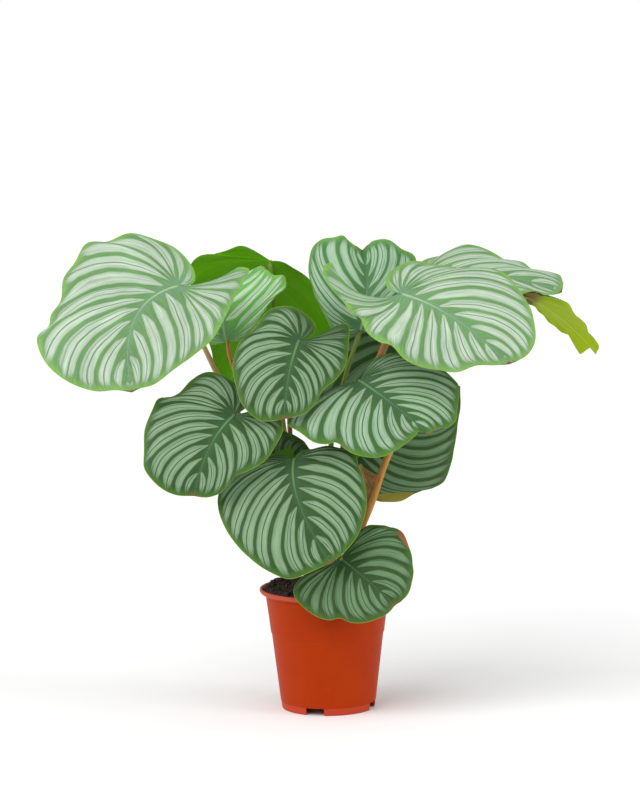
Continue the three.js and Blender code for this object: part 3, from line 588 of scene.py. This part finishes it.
def blade_sheet(leaf, number):
    """The blade's upper sheet: points, the height and the keel at each, faces, and their pattern numbers."""
    blade = leaf_frame(leaf)
    rng = np.random.default_rng(number)
    count = 1 + MIDRIB_ROWS + 2 * (ROWS - 1) * (WIDTH - 1)
    points, relief, keel = np.zeros((count, 3)), np.zeros(count), np.zeros(count)
    faces, corners = [], []
    for side, turn in (("right", 1), ("left", -1)):
        first_band = LEAF_BANDS * number + (LEAF_BANDS // 2 if turn > 0 else 0) + FIRST_BAND
        ids = number_points(turn)
        points[ids], relief[ids], keel[ids], marks = blade_half(blade, blade[side], turn, first_band, rng)
        for i, j in product(range(ROWS - 1), range(WIDTH - 1)):
            spots = [(i, j), (i + 1, j), (i + 1, j + 1), (i, j + 1)][::turn]
            face, marked = merge_corners(spots, ids, marks)
            if len(face) > 2:
                faces.append(face)
                corners.append(marked)
    return points, relief, keel, faces, corners


def make_leaf(name, leaf, number, materials):
    points, relief, keel, faces, corners = blade_sheet(leaf, number)
    points = points + vertex_normals(points, faces) * relief[:, None]
    normals = vertex_normals(points, faces)
    edge = np.full(len(points), np.inf)
    for face, marked in zip(faces, corners):
        for point, mark in zip(face, marked):
            edge[point] = min(edge[point], mark[3])
    half = RIM_THICKNESS / 2 + (BLADE_THICKNESS - RIM_THICKNESS) / 2 * smoothstep(edge, 0, 4)
    upper = points + normals * half[:, None]
    lower = points - normals * (half + keel)[:, None]

    # the rim joins the free edges of the upper and lower side
    sides = {}
    for face, marked in zip(faces, corners):
        for k, point in enumerate(face):
            sides[point, face[k - 1]] = marked[k], marked[k - 1]
    free = {ends: marked for ends, marked in sides.items() if ends[::-1] not in sides}
    rim = [[a, b, b + len(points), a + len(points)] for a, b in free]
    below = [[point + len(points) for point in face[::-1]] for face in faces]
    groups = corners + [marked[::-1] for marked in corners] + [[a, b, b, a] for a, b in free.values()]
    marks = np.array([mark for marked in groups for mark in marked])
    make_piece(
        f"leaf_{name}_blade", np.r_[upper, lower], faces + below + rim, materials,
        "leaf_underside" if leaf.get("shows") == "under" else "striped_leaf", f"leaf_{name}",
        uvs={"veins": marks[:, 0:2], "reach": marks[:, 2:4], "along": marks[:, 4:6]},
        slots=[0] * len(faces) + [1] * len(below) + [0] * len(rim))


# ---- stalks

def sweep(path, radii):
    """A stalk's rings of points round its path, with the shallow channel on one side."""
    along = np.gradient(path, axis=0)
    along /= norm(along, axis=1)[:, None]
    across = np.cross(along[0], (0.0, 1.0, 0.2))
    angles = np.linspace(0, 2 * math.pi, STALK_SIDES, endpoint=False)
    shape = 1 - CHANNEL_DEPTH * np.exp(-((angles - math.pi) / 0.5) ** 2)
    rings = []
    for centre, forward, radius in zip(path, along, radii):
        across = unit(across - forward * (across @ forward))
        up = np.cross(forward, across)
        ring = np.cos(angles)[:, None] * across + np.sin(angles)[:, None] * up
        rings.append(centre + ring * (radius * shape)[:, None])
    return np.array(rings)


def stalk_path(leaf):
    """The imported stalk's path, begun below the soil, its end, and its run into the keel under the blade."""
    blade = leaf_frame(leaf)
    joint, normal = blade["joint"], blade["normal"]
    lowest = CAD_THICKNESS / 2 + GAP + leaf["radii"][-1] * 1.15
    head = joint - normal * lowest + unit(blade["tip"] - joint) * 2
    foot = np.array((*leaf["foot"], SOIL_TOP + GAP))
    between = [slide_to_depth(*place) for place in leaf["through"]]
    curve = smooth_curve([foot, foot + (0, 0, STALK_RISE), *between, head])
    path = point_on(curve, np.linspace(0, 1, STALK_STEPS))
    runs = [quadratic(joint, blade["bend"], blade["tip"], s) - normal * (1.6 - 6 * s) for s in (0.06, 0.14)]
    return np.r_[[foot - (0, 0, STALK_SUNK)], path], head, runs


def make_stalk(name, leaf, material):
    path, head, runs = stalk_path(leaf)
    lengths = lengths_along(path)
    radii = np.interp(lengths / lengths[-1], np.linspace(0, 1, len(leaf["radii"])), leaf["radii"])
    left = lengths[-1] - lengths
    knee = smoothstep(left, KNEE_LENGTH, 0.5 * KNEE_LENGTH) * smoothstep(left, 0, 6)
    radii = radii * (1 + KNEE_SWELL * knee)
    tail = point_on(smooth_curve([path[-4], head, *runs], 8), np.linspace(0.12, 1, TAIL_STEPS))
    path = np.r_[path[:-3], tail]
    radii = np.r_[radii[:-3], np.linspace(radii[-3], TAIL_RADIUS, TAIL_STEPS)]
    rings = sweep(path, radii)
    lengths = lengths_along(path)
    share = lengths / lengths[-1]
    faces = tube_faces(len(rings), STALK_SIDES)
    wall = [(share[point // STALK_SIDES], (face[0] % STALK_SIDES + step) / STALK_SIDES)
            for face in faces[:-2] for point, step in zip(face, (0, 1, 1, 0))]
    ends = [(share[point // STALK_SIDES], 0.0) for face in faces[-2:] for point in face]
    make_piece(
        f"stalk_{name}_stem", rings.reshape(-1, 3), faces, [material], "stalk", f"stalk_{name}",
        uvs={"stalk": wall + ends}, sharp=60)


# ---- material tools

class Signal:
    """A number computed by shader nodes, which can be added, subtracted and multiplied."""

    def __init__(self, shader, socket):
        self.shader, self.socket = shader, socket

    def __add__(self, other):
        return self.shader.math("ADD", self, other)

    def __sub__(self, other):
        return self.shader.math("SUBTRACT", self, other)

    def __rsub__(self, other):
        return self.shader.math("SUBTRACT", other, self)

    def __mul__(self, other):
        return self.shader.math("MULTIPLY", self, other)

    __radd__ = __add__


class Shader:
    """Builds one material's nodes round its Principled BSDF. Its tones are as they look in the light."""

    def __init__(self, name, shine, light=STUDIO_LIGHT):
        self.light = light
        self.material = bpy.data.materials.new(name)
        self.material.use_nodes = True
        self.tree = self.material.node_tree
        self.surface = self.tree.nodes["Principled BSDF"]
        self.surface.inputs["Specular IOR Level"].default_value = shine

    def node(self, kind, inputs=(), **settings):
        made = self.tree.nodes.new(kind)
        for key, value in settings.items():
            setattr(made, key, value)
        for socket, value in dict(inputs).items():
            self.plug(made.inputs[socket], value)
        return made

    def plug(self, socket, value):
        if isinstance(value, Signal):
            value = value.socket
        if isinstance(value, bpy.types.NodeSocket):
            self.tree.links.new(value, socket)
        else:
            socket.default_value = value

    def math(self, operation, *values):
        return Signal(self, self.node("ShaderNodeMath", enumerate(values), operation=operation).outputs[0])

    def parts(self, kind, value):
        return [Signal(self, socket) for socket in self.node(kind, {0: value}).outputs]

    def uv(self, layer):
        made = self.node("ShaderNodeUVMap", uv_map=layer)
        return self.parts("ShaderNodeSeparateXYZ", made.outputs[0])[:2]

    def place(self):
        """Position on the object, in metres."""
        return self.node("ShaderNodeTexCoord").outputs["Object"]

    def axes(self):
        return self.parts("ShaderNodeSeparateXYZ", self.place())

    def vector(self, x, y, z=0.0):
        return self.node("ShaderNodeCombineXYZ", {0: x, 1: y, 2: z}).outputs[0]

    def step(self, value, low, high):
        """0 below low, 1 above high and smooth between; the other way round if low is above high."""
        inputs = {"Value": value, "From Min": low, "From Max": high}
        made = self.node("ShaderNodeMapRange", inputs, interpolation_type="SMOOTHSTEP")
        return Signal(self, made.outputs[0])

    def ramp(self, value, low, high, power):
        """0 at low and 1 at high, bent by a power."""
        made = self.node("ShaderNodeMapRange", {"Value": value, "From Min": low, "From Max": high})
        return self.math("POWER", Signal(self, made.outputs[0]), power)

    def noise(self, vector, scale, detail=2.0, roughness=0.5):
        inputs = {"Vector": vector, "Scale": scale, "Detail": detail, "Roughness": roughness}
        return Signal(self, self.node("ShaderNodeTexNoise", inputs).outputs[0])

    def grains(self, vector, scale):
        """How far the nearest of many scattered points is."""
        made = self.node("ShaderNodeTexVoronoi", {"Vector": vector, "Scale": scale})
        return Signal(self, made.outputs["Distance"])

    def random(self, number):
        """Three random numbers from 0 to 1 for each whole number."""
        made = self.node("ShaderNodeTexWhiteNoise", {"W": number}, noise_dimensions="1D")
        return self.parts("ShaderNodeSeparateColor", made.outputs["Color"])

    def mix(self, share, first, second):
        inputs = {0: share, 6: self.tone(first), 7: self.tone(second)}
        return self.node("ShaderNodeMix", inputs, data_type="RGBA").outputs[2]

    def brighten(self, colour, amount):
        inputs = {"Color": self.tone(colour), "Value": amount}
        return self.node("ShaderNodeHueSaturation", inputs).outputs[0]

    def tone(self, colour):
        """A linear colour from red, green and blue of 0 to 255; a colour made by nodes stays as it is."""
        if isinstance(colour, bpy.types.NodeSocket):
            return colour
        shares = [c / 255 for c in colour]
        linear = [s / 12.92 if s <= 0.04045 else ((s + 0.055) / 1.055) ** 2.4 for s in shares]
        return *(s / self.light for s in linear), 1.0

    def patches(self, colour, marks, fine):
        """Lays discoloured patches over a colour: turned rectangles in millimetres, seen from the front."""
        for (x, z, turn, long, wide, blur), tone in marks:
            place_x, _, place_z = self.axes()
            off_x, off_z = place_x * 1000 - x, place_z * 1000 - z
            cos, sin = math.cos(math.radians(turn)), math.sin(math.radians(turn))
            ahead = self.math("ABSOLUTE", off_x * cos + off_z * sin)
            aside = self.math("ABSOLUTE", off_z * cos - off_x * sin)
            inside = self.step(ahead, long + blur, long - blur) * self.step(aside, wide + blur, wide - blur)
            colour = self.mix(inside, colour, self.brighten(tone, 0.8 + fine * 0.4))
        return colour

    def finish(self, colour, roughness, height, strength, distance):
        """Plugs in the colour, the roughness and a bump of that height in millimetres."""
        inputs = {"Height": height, "Strength": strength, "Distance": distance * MM}
        self.plug(self.surface.inputs["Base Color"], colour)
        self.plug(self.surface.inputs["Roughness"], roughness)
        self.plug(self.surface.inputs["Normal"], self.node("ShaderNodeBump", inputs).outputs[0])
        return self.material


# ---- materials

def silver_bands(s, notch, bands, across, inner, outer, along, to_tip, streak, fine):
    """Where the silver is, where the dark lines in it are, and where its ragged edges are.

    A silver band begins as a point near the midrib and ends in streaks at the margin. notch is how far the
    bands beside the notch at the joint are lost in the green.
    """
    band = s.math("FLOOR", bands)
    early, wide, aside = s.random(band)
    ragged = s.math("ABSOLUTE", bands - band - 0.5) * 2 + (streak - 0.5) * 0.22
    long = s.step(inner + outer, 8, 70)
    begin = (early * 3 + 1.5 + s.step(along, 0.2, 0.0) * 7) * long + 0.8
    taper = s.math("MINIMUM", 20, (inner + outer) * 0.45)
    growth = s.ramp(inner + (streak - 0.5) * 6, begin, begin + taper, 0.7)
    width = growth * (s.step(outer, -1, 16) * 0.4 + 0.6) * (wide * 0.18 + 0.64)
    fading = s.step(outer + (streak - 0.5) * 13 + (fine - 0.5) * 7, wide * 2, wide * 3 + 5)
    fading = fading * (s.step(s.math("MODULO", bands, LEAF_BANDS / 2), 1.5, 5.5) * notch + (1 - notch))
    fading = fading * s.step(to_tip, 5, 14)
    in_silver = s.step(ragged, width + 0.07, width - 0.07) * s.step(width, 0.03, 0.12) * fading
    drawn = s.step(inner, begin + 2, begin + 12) * s.step(outer, 1, 7)
    first = s.math("ABSOLUTE", bands - band - 0.42 - aside * 0.16) * 2
    first = s.step(first, 0.12, 0.04) * s.step(wide, 0.2, 0.32) * drawn
    second = s.math("ABSOLUTE", bands - band - 0.24 - early * 0.08) * 2
    second = s.step(second, 0.09, 0.03) * s.step(aside, 0.45, 0.6) * drawn * 0.7
    return in_silver, s.math("MAXIMUM", first, second), s.step(ragged, width - 0.4, width)


def striped_leaf(name, silver, green, line, margin, centre, midrib, notch, marks=()):
    """The upper side: silver bands, most with dark lines in them, between green ones, and a lime margin."""
    s = Shader(name, 0.35)
    bands, across = s.uv("veins")
    inner, outer = s.uv("reach")
    along, to_tip = s.uv("along")
    cloud = s.noise(s.place(), 16, 3)
    bands = bands + (s.noise(s.place(), 34, 1) - 0.5) * 0.22
    streak = s.noise(s.vector(bands * 11, across * 2.5), 1, 3, 0.6)
    fine = s.noise(s.vector(bands * 27, across * 5, 5.0), 1, 2)
    in_silver, in_line, in_edge = silver_bands(
        s, notch, bands, across, inner, outer, along, to_tip, streak, fine)

    colour = s.mix(s.step(outer, 10, 1) * 0.9, green, margin)
    colour = s.mix(s.step(inner * (along * 1.5 + 1), 19, 5) * s.step(outer, 4, 16), colour, centre)
    colour = s.brighten(colour, 1 + (fine - 0.5) * 0.7 + (streak - 0.5) * 0.8 + (cloud - 0.5) * 0.6)
    pale = s.brighten(silver, 1 + (streak - 0.5) * 1.1 + (fine - 0.5) * 0.7 + (cloud - 0.5) * 0.35)
    pale = s.mix(in_edge * 0.3 + s.step(outer, 13, 1) * 0.6, pale, green)
    colour = s.mix(in_silver, colour, pale)
    colour = s.mix(in_line * 0.9, colour, line)
    rib_width = 1.35 - along * 0.9
    rib = s.step(inner, rib_width + 0.7, rib_width * 0.5) * (0.85 - s.step(along, 0.25, 0.8) * 0.55)
    colour = s.mix(rib, colour, midrib)
    colour = s.mix(s.step(outer, 0.9, 0.3) * 0.7, colour, (150, 180, 50))
    dry_tip = s.math("MAXIMUM", s.step(to_tip, 5, 2), s.step(to_tip, 13, 6) * s.step(outer, 2, 1))
    colour = s.patches(s.mix(dry_tip, colour, (120, 92, 50)), marks, fine)
    veins = streak * 0.5 + fine * 0.3 + in_silver * 0.15 - in_line * 0.5
    return s.finish(colour, 0.56 - in_silver * 0.08 + cloud * 0.1, veins, 0.4, 0.6)


def plain_underside(name, base, veined, midrib, marks=()):
    """The underside: one tone with fine veins and a paler midrib."""
    s = Shader(name, 0.15)
    bands, across = s.uv("veins")
    inner, outer = s.uv("reach")
    along, _ = s.uv("along")
    cloud = s.noise(s.place(), 14, 3)
    streak = s.noise(s.vector(bands * 9, across * 2), 1, 3, 0.6)
    fine = s.noise(s.vector(bands * 55, across * 6, 9.0), 1, 2)
    colour = s.mix(s.step(streak, 0.35, 0.7) * 0.5 + cloud * 0.4, base, veined)
    colour = s.brighten(colour, 0.9 + fine * 0.2)
    colour = s.mix(s.step(inner, 4.2 - along * 3, 1.2 - along), colour, midrib)
    colour = s.patches(s.mix(s.step(outer, 1.2, 0.3) * 0.5, colour, midrib), marks, fine)
    return s.finish(colour, 0.6 + cloud * 0.1, streak * 0.6 + fine * 0.5, 0.4, 0.5)


def stalk_skin(name, low, middle, high):
    """A leaf stalk: three tones from the soil to the blade, with fine fibres along it."""
    s = Shader(name, 0.45)
    share, turn = s.uv("stalk")
    patch = s.noise(s.place(), 60, 3)
    round_x, round_y = s.math("COSINE", turn * 6.2832), s.math("SINE", turn * 6.2832)
    fibre = s.noise(s.vector(round_x * 6, round_y * 6, share * 9), 1, 3, 0.6)
    speck = s.noise(s.place(), 420, 2)
    colour = s.mix(s.step(share, 0.0, 0.45), low, middle)
    colour = s.mix(s.step(share, 0.6, 0.97), colour, high)
    colour = s.mix(s.step(patch, 0.52, 0.72) * 0.35, colour, low)
    colour = s.brighten(colour, 0.8 + fibre * 0.3 + speck * 0.1)
    return s.finish(colour, 0.42 + patch * 0.18, fibre * 0.8 + speck * 0.2, 0.4, 0.6)


def dry_membrane():
    """The dry sheath: thin brown fibres, reddish where it clasps the stalk."""
    s = Shader("dry_membrane", 0.25)
    side, rise = s.uv("fibres")
    fibre = s.noise(s.vector(side * 16, rise * 3), 1, 4, 0.65)
    blotch = s.noise(s.place(), 90, 3)
    colour = s.mix(s.step(fibre, 0.3, 0.7), (150, 116, 64), (206, 166, 110))
    colour = s.mix(s.step(side, 0.6, 1.0) * 0.7, colour, (206, 104, 50))
    colour = s.mix(s.step(blotch, 0.55, 0.75) * 0.5, colour, (150, 92, 52))
    return s.finish(colour, 0.7 + fibre * 0.15, fibre, 0.6, 0.8)


def damp_soil():
    """Dark potting soil, with paler fibres and grains."""
    s = Shader("damp_soil", 0.3)
    lump = s.noise(s.place(), 70, 6, 0.7)
    grain = s.grains(s.place(), 520)
    colour = s.mix(s.step(lump, 0.35, 0.7), (30, 23, 21), (84, 62, 52))
    colour = s.mix(s.step(s.noise(s.place(), 330, 2), 0.66, 0.74), colour, (112, 84, 58))
    colour = s.brighten(colour, 0.75 + grain * 0.6)
    return s.finish(colour, 0.82 + lump * 0.12, lump + grain * 0.5, 0.8, 1.5)


def terracotta_plastic():
    """Moulded plastic: faint flow marks, a rim with painted glow and highlights, a paler foot ring and faint
    scuffs.
    """
    s = Shader("terracotta_plastic", 0.08)
    x, y, z = s.axes()
    flow = s.noise(s.place(), 22, 3)
    drawn = s.noise(s.vector(x * 320, y * 320, z * 14), 1, 2)
    speck = s.noise(s.place(), 900, 2)
    colour = s.mix(flow, (180, 50, 0), (193, 64, 0))
    # painted light: the rolled rim is paler to paint the light glowing through the thin plastic and the
    # highlights on it
    colour = s.mix(s.step(z, 0.1415, 0.146), colour, (212, 92, 62))
    colour = s.mix(s.step(z, 0.0095, 0.0085) * 0.6, colour, (214, 84, 60))
    colour = s.brighten(colour, 0.93 + drawn * 0.1 + speck * 0.04)
    scuff = s.step(s.noise(s.vector(x * 60, y * 60, z * 200), 1, 4, 0.7), 0.62, 0.75)
    return s.finish(colour, 0.42 + flow * 0.12 + scuff * 0.1, drawn * 0.4 + speck * 0.3, 0.25, 0.25)


def studio_floor():
    s = Shader("studio_floor", 0.1, light=1)
    cloud = s.noise(s.place(), 3, 2)
    colour = s.mix(cloud, (238, 238, 238), (244, 244, 244))
    return s.finish(colour, 0.85 + cloud * 0.1, cloud, 0.02, 0.2)


# ---- sheath and soil

def thicken(points, faces, thickness):
    """Gives a sheet two sides and a rim."""
    count = len(points)
    shift = vertex_normals(points, faces) * thickness / 2
    sides = {(face[k - 1], face[k]) for face in faces for k in range(len(face))}
    back = [[p + count for p in face[::-1]] for face in faces]
    rim = [[b, a, a + count, b + count] for a, b in sorted(sides) if (b, a) not in sides]
    return np.r_[points + shift, points - shift], faces + back + rim


def make_sheath(material):
    """A dry, torn leaf sheath: a thin creased membrane that clasps the thick stalk on its right."""
    low, high = (smooth_curve([(x, 0, z) for x, z in edge]) for edge in (SHEATH_LOW, SHEATH_HIGH))
    rows, columns = SHEATH_ROWS, SHEATH_COLUMNS
    points = []
    for v, u in product(np.linspace(0, 1, rows), np.linspace(0, 1, columns)):
        x, _, z = (1 - v) * point_on(low, u) + v * point_on(high, u)
        crease = (1 - u) * (1.6 * math.sin(9 * u + 5 * v) + 2 * noise.noise(Vector((5 * u, 5 * v, 3))))
        points.append(slide_to_depth(x, z, SHEATH_DEPTH - 12 * u ** 2 + crease))
    firsts = [i * columns + k for i in range(rows - 1) for k in range(columns - 1)]
    faces = [[a, a + 1, a + columns + 1, a + columns] for a in firsts]
    points, faces = thicken(np.array(points), faces, SHEATH_THICKNESS)
    spots = np.arange(len(points)) % (rows * columns)
    marks = np.stack([spots % columns / (columns - 1), spots // columns / (rows - 1)], axis=1)
    pairs = [marks[p] for face in faces for p in face]
    make_piece("sheath_membrane", points, faces, [material], "dry_sheath", "sheath",
               uvs={"fibres": pairs}, sharp=80)


def lumpy_ball(rng, centre, size):
    """A small irregular lump: a subdivided octahedron pushed in and out."""
    points = [(1, 0, 0), (0, 1, 0), (-1, 0, 0), (0, -1, 0), (0, 0, 1), (0, 0, -1)]
    faces = [[k, (k + 1) % 4, 4] for k in range(4)] + [[(k + 1) % 4, k, 5] for k in range(4)]
    points = [np.array(p, float) for p in points]
    middles, split = {}, []
    for face in faces:
        mids = []
        for k in range(3):
            edge = tuple(sorted((face[k], face[(k + 1) % 3])))
            if edge not in middles:
                middles[edge] = len(points)
                points.append(unit(points[edge[0]] + points[edge[1]]))
            mids.append(middles[edge])
        split += [[face[k], mids[k], mids[k - 1]] for k in range(3)] + [mids]
    points = np.array(points) * rng.uniform(0.72, 1.15, (len(points), 1))
    axes = np.linalg.qr(rng.normal(size=(3, 3)))[0]
    axes *= np.sign(np.linalg.det(axes))
    return centre + points * (size * rng.uniform(0.6, 1.25, 3)) @ axes, split


def soil_height(x, y):
    """The height of the soil: a mound that falls off to the rim, with a clump at the back."""
    r = math.hypot(x, y)
    mound = np.interp(r, (MOUND_RADIUS, SOIL_SHOULDER_RADIUS, SOIL_EDGE_RADIUS),
                      (SOIL_TOP, SOIL_SHOULDER_Z, SOIL_EDGE_Z))
    apart = math.hypot(x - CLUMP[0], y - CLUMP[1]) / CLUMP_SPREAD
    rough = noise.fractal(Vector((x, y, 0)) / 11, 0.8, 2.1, 5) * 1.8
    heap = CLUMP_HEIGHT * math.exp(-apart ** 2) + rough - 1.2
    return mound + heap * (1 - (r / SOIL_EDGE_RADIUS) ** 16)


def make_soil(material):
    """The soil: an uneven mound with crumbs strewn over it."""
    rng = np.random.default_rng(11)
    sides, foot = SOIL_SEGMENTS, FLOOR_TOP + GAP
    points = [(0, 0, soil_height(0, 0))]
    for radius in np.linspace(0, SOIL_EDGE_RADIUS, SOIL_RINGS + 1)[1:]:
        points += [(x, y, soil_height(x, y)) for x, y, _ in circle(radius, 0, sides)]
    points += circle(inner_radius(WALL_TOP_Z) - GAP, WALL_TOP_Z + 0.1, sides)
    points += circle(inner_radius(foot) - GAP, foot, sides)
    faces = [[0, 1 + k, 1 + (k + 1) % sides] for k in range(sides)]
    faces += [[a + 1, d + 1, c + 1, b + 1] for a, b, c, d in ring_faces(SOIL_RINGS + 2, sides)]
    faces.append([len(points) - 1 - k for k in range(sides)])
    for _ in range(CRUMBS):
        r, a = (SOIL_EDGE_RADIUS - 2) * math.sqrt(rng.uniform()), rng.uniform(0, 2 * math.pi)
        x, y, size = r * math.cos(a), r * math.sin(a), 0.7 + 3 * rng.uniform() ** 4
        centre = np.array((x, y, soil_height(x, y) + size * rng.uniform(-0.4, 0.4)))
        more, split = lumpy_ball(rng, centre, size)
        faces += [[p + len(points) for p in face] for face in split]
        points.extend(more)
    make_piece("soil_mound", points, faces, [material], "soil", "soil", sharp=35)


# ---- pot

def outer_radius(z):
    slope = (WALL_TOP_RADIUS - WALL_FOOT_RADIUS) / (WALL_TOP_Z - WALL_FOOT_Z)
    return WALL_TOP_RADIUS + (z - WALL_TOP_Z) * slope


def inner_radius(z):
    return outer_radius(z) - WALL - STEP_OUT


def rounded(profile, radius):
    """Rounds each inner corner of a profile, as far as its sides allow."""
    profile = [np.array(p, float) for p in profile]
    result = [profile[0]]
    for before, corner, after in zip(profile, profile[1:], profile[2:]):
        room = min(radius, 0.4 * norm(corner - before), 0.4 * norm(after - corner))
        start, end = corner + unit(before - corner) * room, corner + unit(after - corner) * room
        result += [quadratic(start, corner, end, t) for t in (0, 0.25, 0.5, 0.75, 1)]
    return [*result, profile[-1]]


def cut(piece, cutters):
    """Takes the cutters out of the piece's mesh, and removes them."""
    for cutter in cutters:
        modifier = piece.modifiers.new("cut", "BOOLEAN")
        modifier.operation, modifier.object, modifier.solver = "DIFFERENCE", cutter, "EXACT"
    bpy.context.view_layer.update()
    result = bpy.data.meshes.new_from_object(piece.evaluated_get(bpy.context.evaluated_depsgraph_get()))
    piece.modifiers.clear()
    piece.data = result
    for cutter in cutters:
        bpy.data.objects.remove(cutter)


def pot_profile():
    """Radius and height from the middle of the floor's underside, over the rim, to the middle of its top."""
    rim_foot, foot_top = outer_radius(RIM_FOOT_Z), outer_radius(FOOT_HEIGHT)
    return rounded([
        (0, FOOT_HEIGHT), (FOOT_RADIUS - FOOT_WALL, FOOT_HEIGHT), (FOOT_RADIUS - FOOT_WALL, 0),
        (FOOT_RADIUS - 0.6, 0), (WALL_FOOT_RADIUS - FOOT_STEP, WALL_FOOT_Z),
        (foot_top - FOOT_STEP, FOOT_HEIGHT), (foot_top, FOOT_HEIGHT + FOOT_STEP),
        (outer_radius(STEP_Z) - STEP_OUT, STEP_Z - 1), (outer_radius(STEP_Z), STEP_Z),
        (rim_foot, RIM_FOOT_Z), (rim_foot + RIM_STEP, RIM_FOOT_Z + 0.6),
        (RIM_RADIUS - 1, POT_HEIGHT - 5.2), (RIM_RADIUS, POT_HEIGHT - 3.2),
        (RIM_RADIUS - 0.3, POT_HEIGHT - 0.9), (RIM_RADIUS - 1.5, POT_HEIGHT),
        (RIM_RADIUS - 3.2, POT_HEIGHT - 0.6), (inner_radius(WALL_TOP_Z), WALL_TOP_Z),
        (inner_radius(FLOOR_TOP), FLOOR_TOP), (0, FLOOR_TOP),
    ], CORNER_RADIUS)


def pot_cutters():
    """Boxes for the notches of the foot ring, and rods for the drain holes."""
    box = np.array([(x, y, z) for x in (FOOT_RADIUS - NOTCH_REACH, FOOT_RADIUS + NOTCH_REACH)
                    for y in (-NOTCH_WIDTH / 2, NOTCH_WIDTH / 2) for z in (-FOOT_HEIGHT, FOOT_HEIGHT)])
    box_sides = [[0, 1, 3, 2], [4, 6, 7, 5], [0, 4, 5, 1], [2, 3, 7, 6], [0, 2, 6, 4], [1, 5, 7, 3]]
    rod = np.array([p for z in DRAIN_CUT for p in circle(DRAIN_RADIUS, z, DRAIN_SEGMENTS)])
    rod += (DRAIN_CIRCLE, 0, 0)
    rod_sides = tube_faces(2, DRAIN_SEGMENTS)
    cutters = []
    for i in range(NOTCH_COUNT):
        turn = np.array(Matrix.Rotation(NOTCH_TURN + 2 * math.pi * i / NOTCH_COUNT, 3, "Z")).T
        for name, points, sides in (("notch", box, box_sides), ("drain", rod, rod_sides)):
            cutters.append(add_object(name, make_mesh(name, points @ turn, sides)))
    return cutters


def make_pot(material):
    """The pot: a thin tapered wall with a rolled rim, a notched foot ring and four drain holes."""
    profile, sides = pot_profile()[1:-1], ROUND_SEGMENTS
    points = [point for radius, z in profile for point in circle(radius, z, sides)]
    last = len(points) - sides
    points += [(0, 0, FOOT_HEIGHT), (0, 0, FLOOR_TOP)]
    faces = ring_faces(len(profile), sides)
    for k in range(sides):
        n = (k + 1) % sides
        faces += [[len(points) - 2, n, k], [len(points) - 1, last + k, last + n]]
    pot = make_piece("pot_shell", points, faces, [material], "pot", "pot")
    cut(pot, pot_cutters())
    shade_smooth(pot.data, 40)


# ---- stage

def make_floor(material):
    mesh = make_mesh("floor", circle(FLOOR_REACH, 0, FLOOR_SIDES), [list(range(FLOOR_SIDES))])
    mesh.materials.append(material)
    add_object("floor", mesh)


def make_softbox(name, place, strength, spread):
    """A light so far away that it falls evenly on the plant and the floor, and this many degrees across."""
    data = bpy.data.lights.new(name, "SUN")
    data.energy, data.angle = strength, math.radians(spread)
    light = add_object(name, data)
    light.location = place
    light.rotation_euler = (Vector((0, 0, 0.3)) - Vector(place)).to_track_quat("-Z", "Y").to_euler()


def light_studio():
    """Even white light, brighter where the camera sees it, and softboxes with the key at the upper left."""
    scene = bpy.context.scene
    scene.view_settings.view_transform = "Standard"
    scene.world = bpy.data.worlds.new("studio")
    scene.world.use_nodes = True
    tree = scene.world.node_tree
    background = tree.nodes["Background"]
    background.inputs["Color"].default_value = (1, 1, 1, 1)
    seen = tree.nodes.new("ShaderNodeLightPath")
    strength = tree.nodes.new("ShaderNodeMapRange")
    strength.inputs["To Min"].default_value = AMBIENT
    strength.inputs["To Max"].default_value = 1
    tree.links.new(seen.outputs["Is Camera Ray"], strength.inputs["Value"])
    tree.links.new(strength.outputs[0], background.inputs["Strength"])
    make_softbox("key", (-1.6, -2.0, 2.8), 1.9, 50)
    make_softbox("right", (2.3, -1.0, 1.0), 1.25, 31)
    make_softbox("left", (-2.4, -0.5, 0.8), 0.85, 31)


def make_camera():
    """The camera stands at EYE and looks a little down, rolled as the photograph is."""
    ahead = np.array((math.sin(CAMERA_YAW) * math.cos(CAMERA_PITCH),
                      math.cos(CAMERA_YAW) * math.cos(CAMERA_PITCH), math.sin(CAMERA_PITCH)))
    right = unit(np.cross(ahead, (0, 0, 1)))
    up = np.cross(right, ahead)
    cos, sin = math.cos(CAMERA_ROLL), math.sin(CAMERA_ROLL)
    axes = np.stack([cos * right - sin * up, sin * right + cos * up, -ahead], axis=1)
    data = bpy.data.cameras.new("camera")
    data.sensor_width = SENSOR
    data.lens = SENSOR * LENS_PIXELS / PHOTO_HEIGHT
    camera = add_object("camera", data)
    camera.matrix_world = Matrix.Translation(EYE * MM) @ Matrix(axes).to_4x4()
    bpy.context.scene.camera = camera


make_camera()
light_studio()
make_floor(studio_floor())
uppers = {name: striped_leaf(f"leaf_{name}_side", **tones) for name, tones in PALETTES.items()}
for name, marks in UPPER_MARKS.items():
    uppers[name] = striped_leaf(f"leaf_{name}_side", **PALETTES[LEAVES[name]["palette"]], marks=marks)
unders = {name: plain_underside(*tones, UNDER_MARKS.get(name, ())) for name, tones in UNDERSIDES.items()}
for number, (name, leaf) in enumerate(LEAVES.items()):
    upper = uppers.get(name, uppers[leaf["palette"]])
    under = unders.get(name, unders["other"])
    make_leaf(name, leaf, number, [upper, under])
    make_stalk(name, leaf, stalk_skin(f"stalk_{name}_skin", *leaf["tones"]))
make_sheath(dry_membrane())
make_soil(damp_soil())
make_pot(terracotta_plastic())
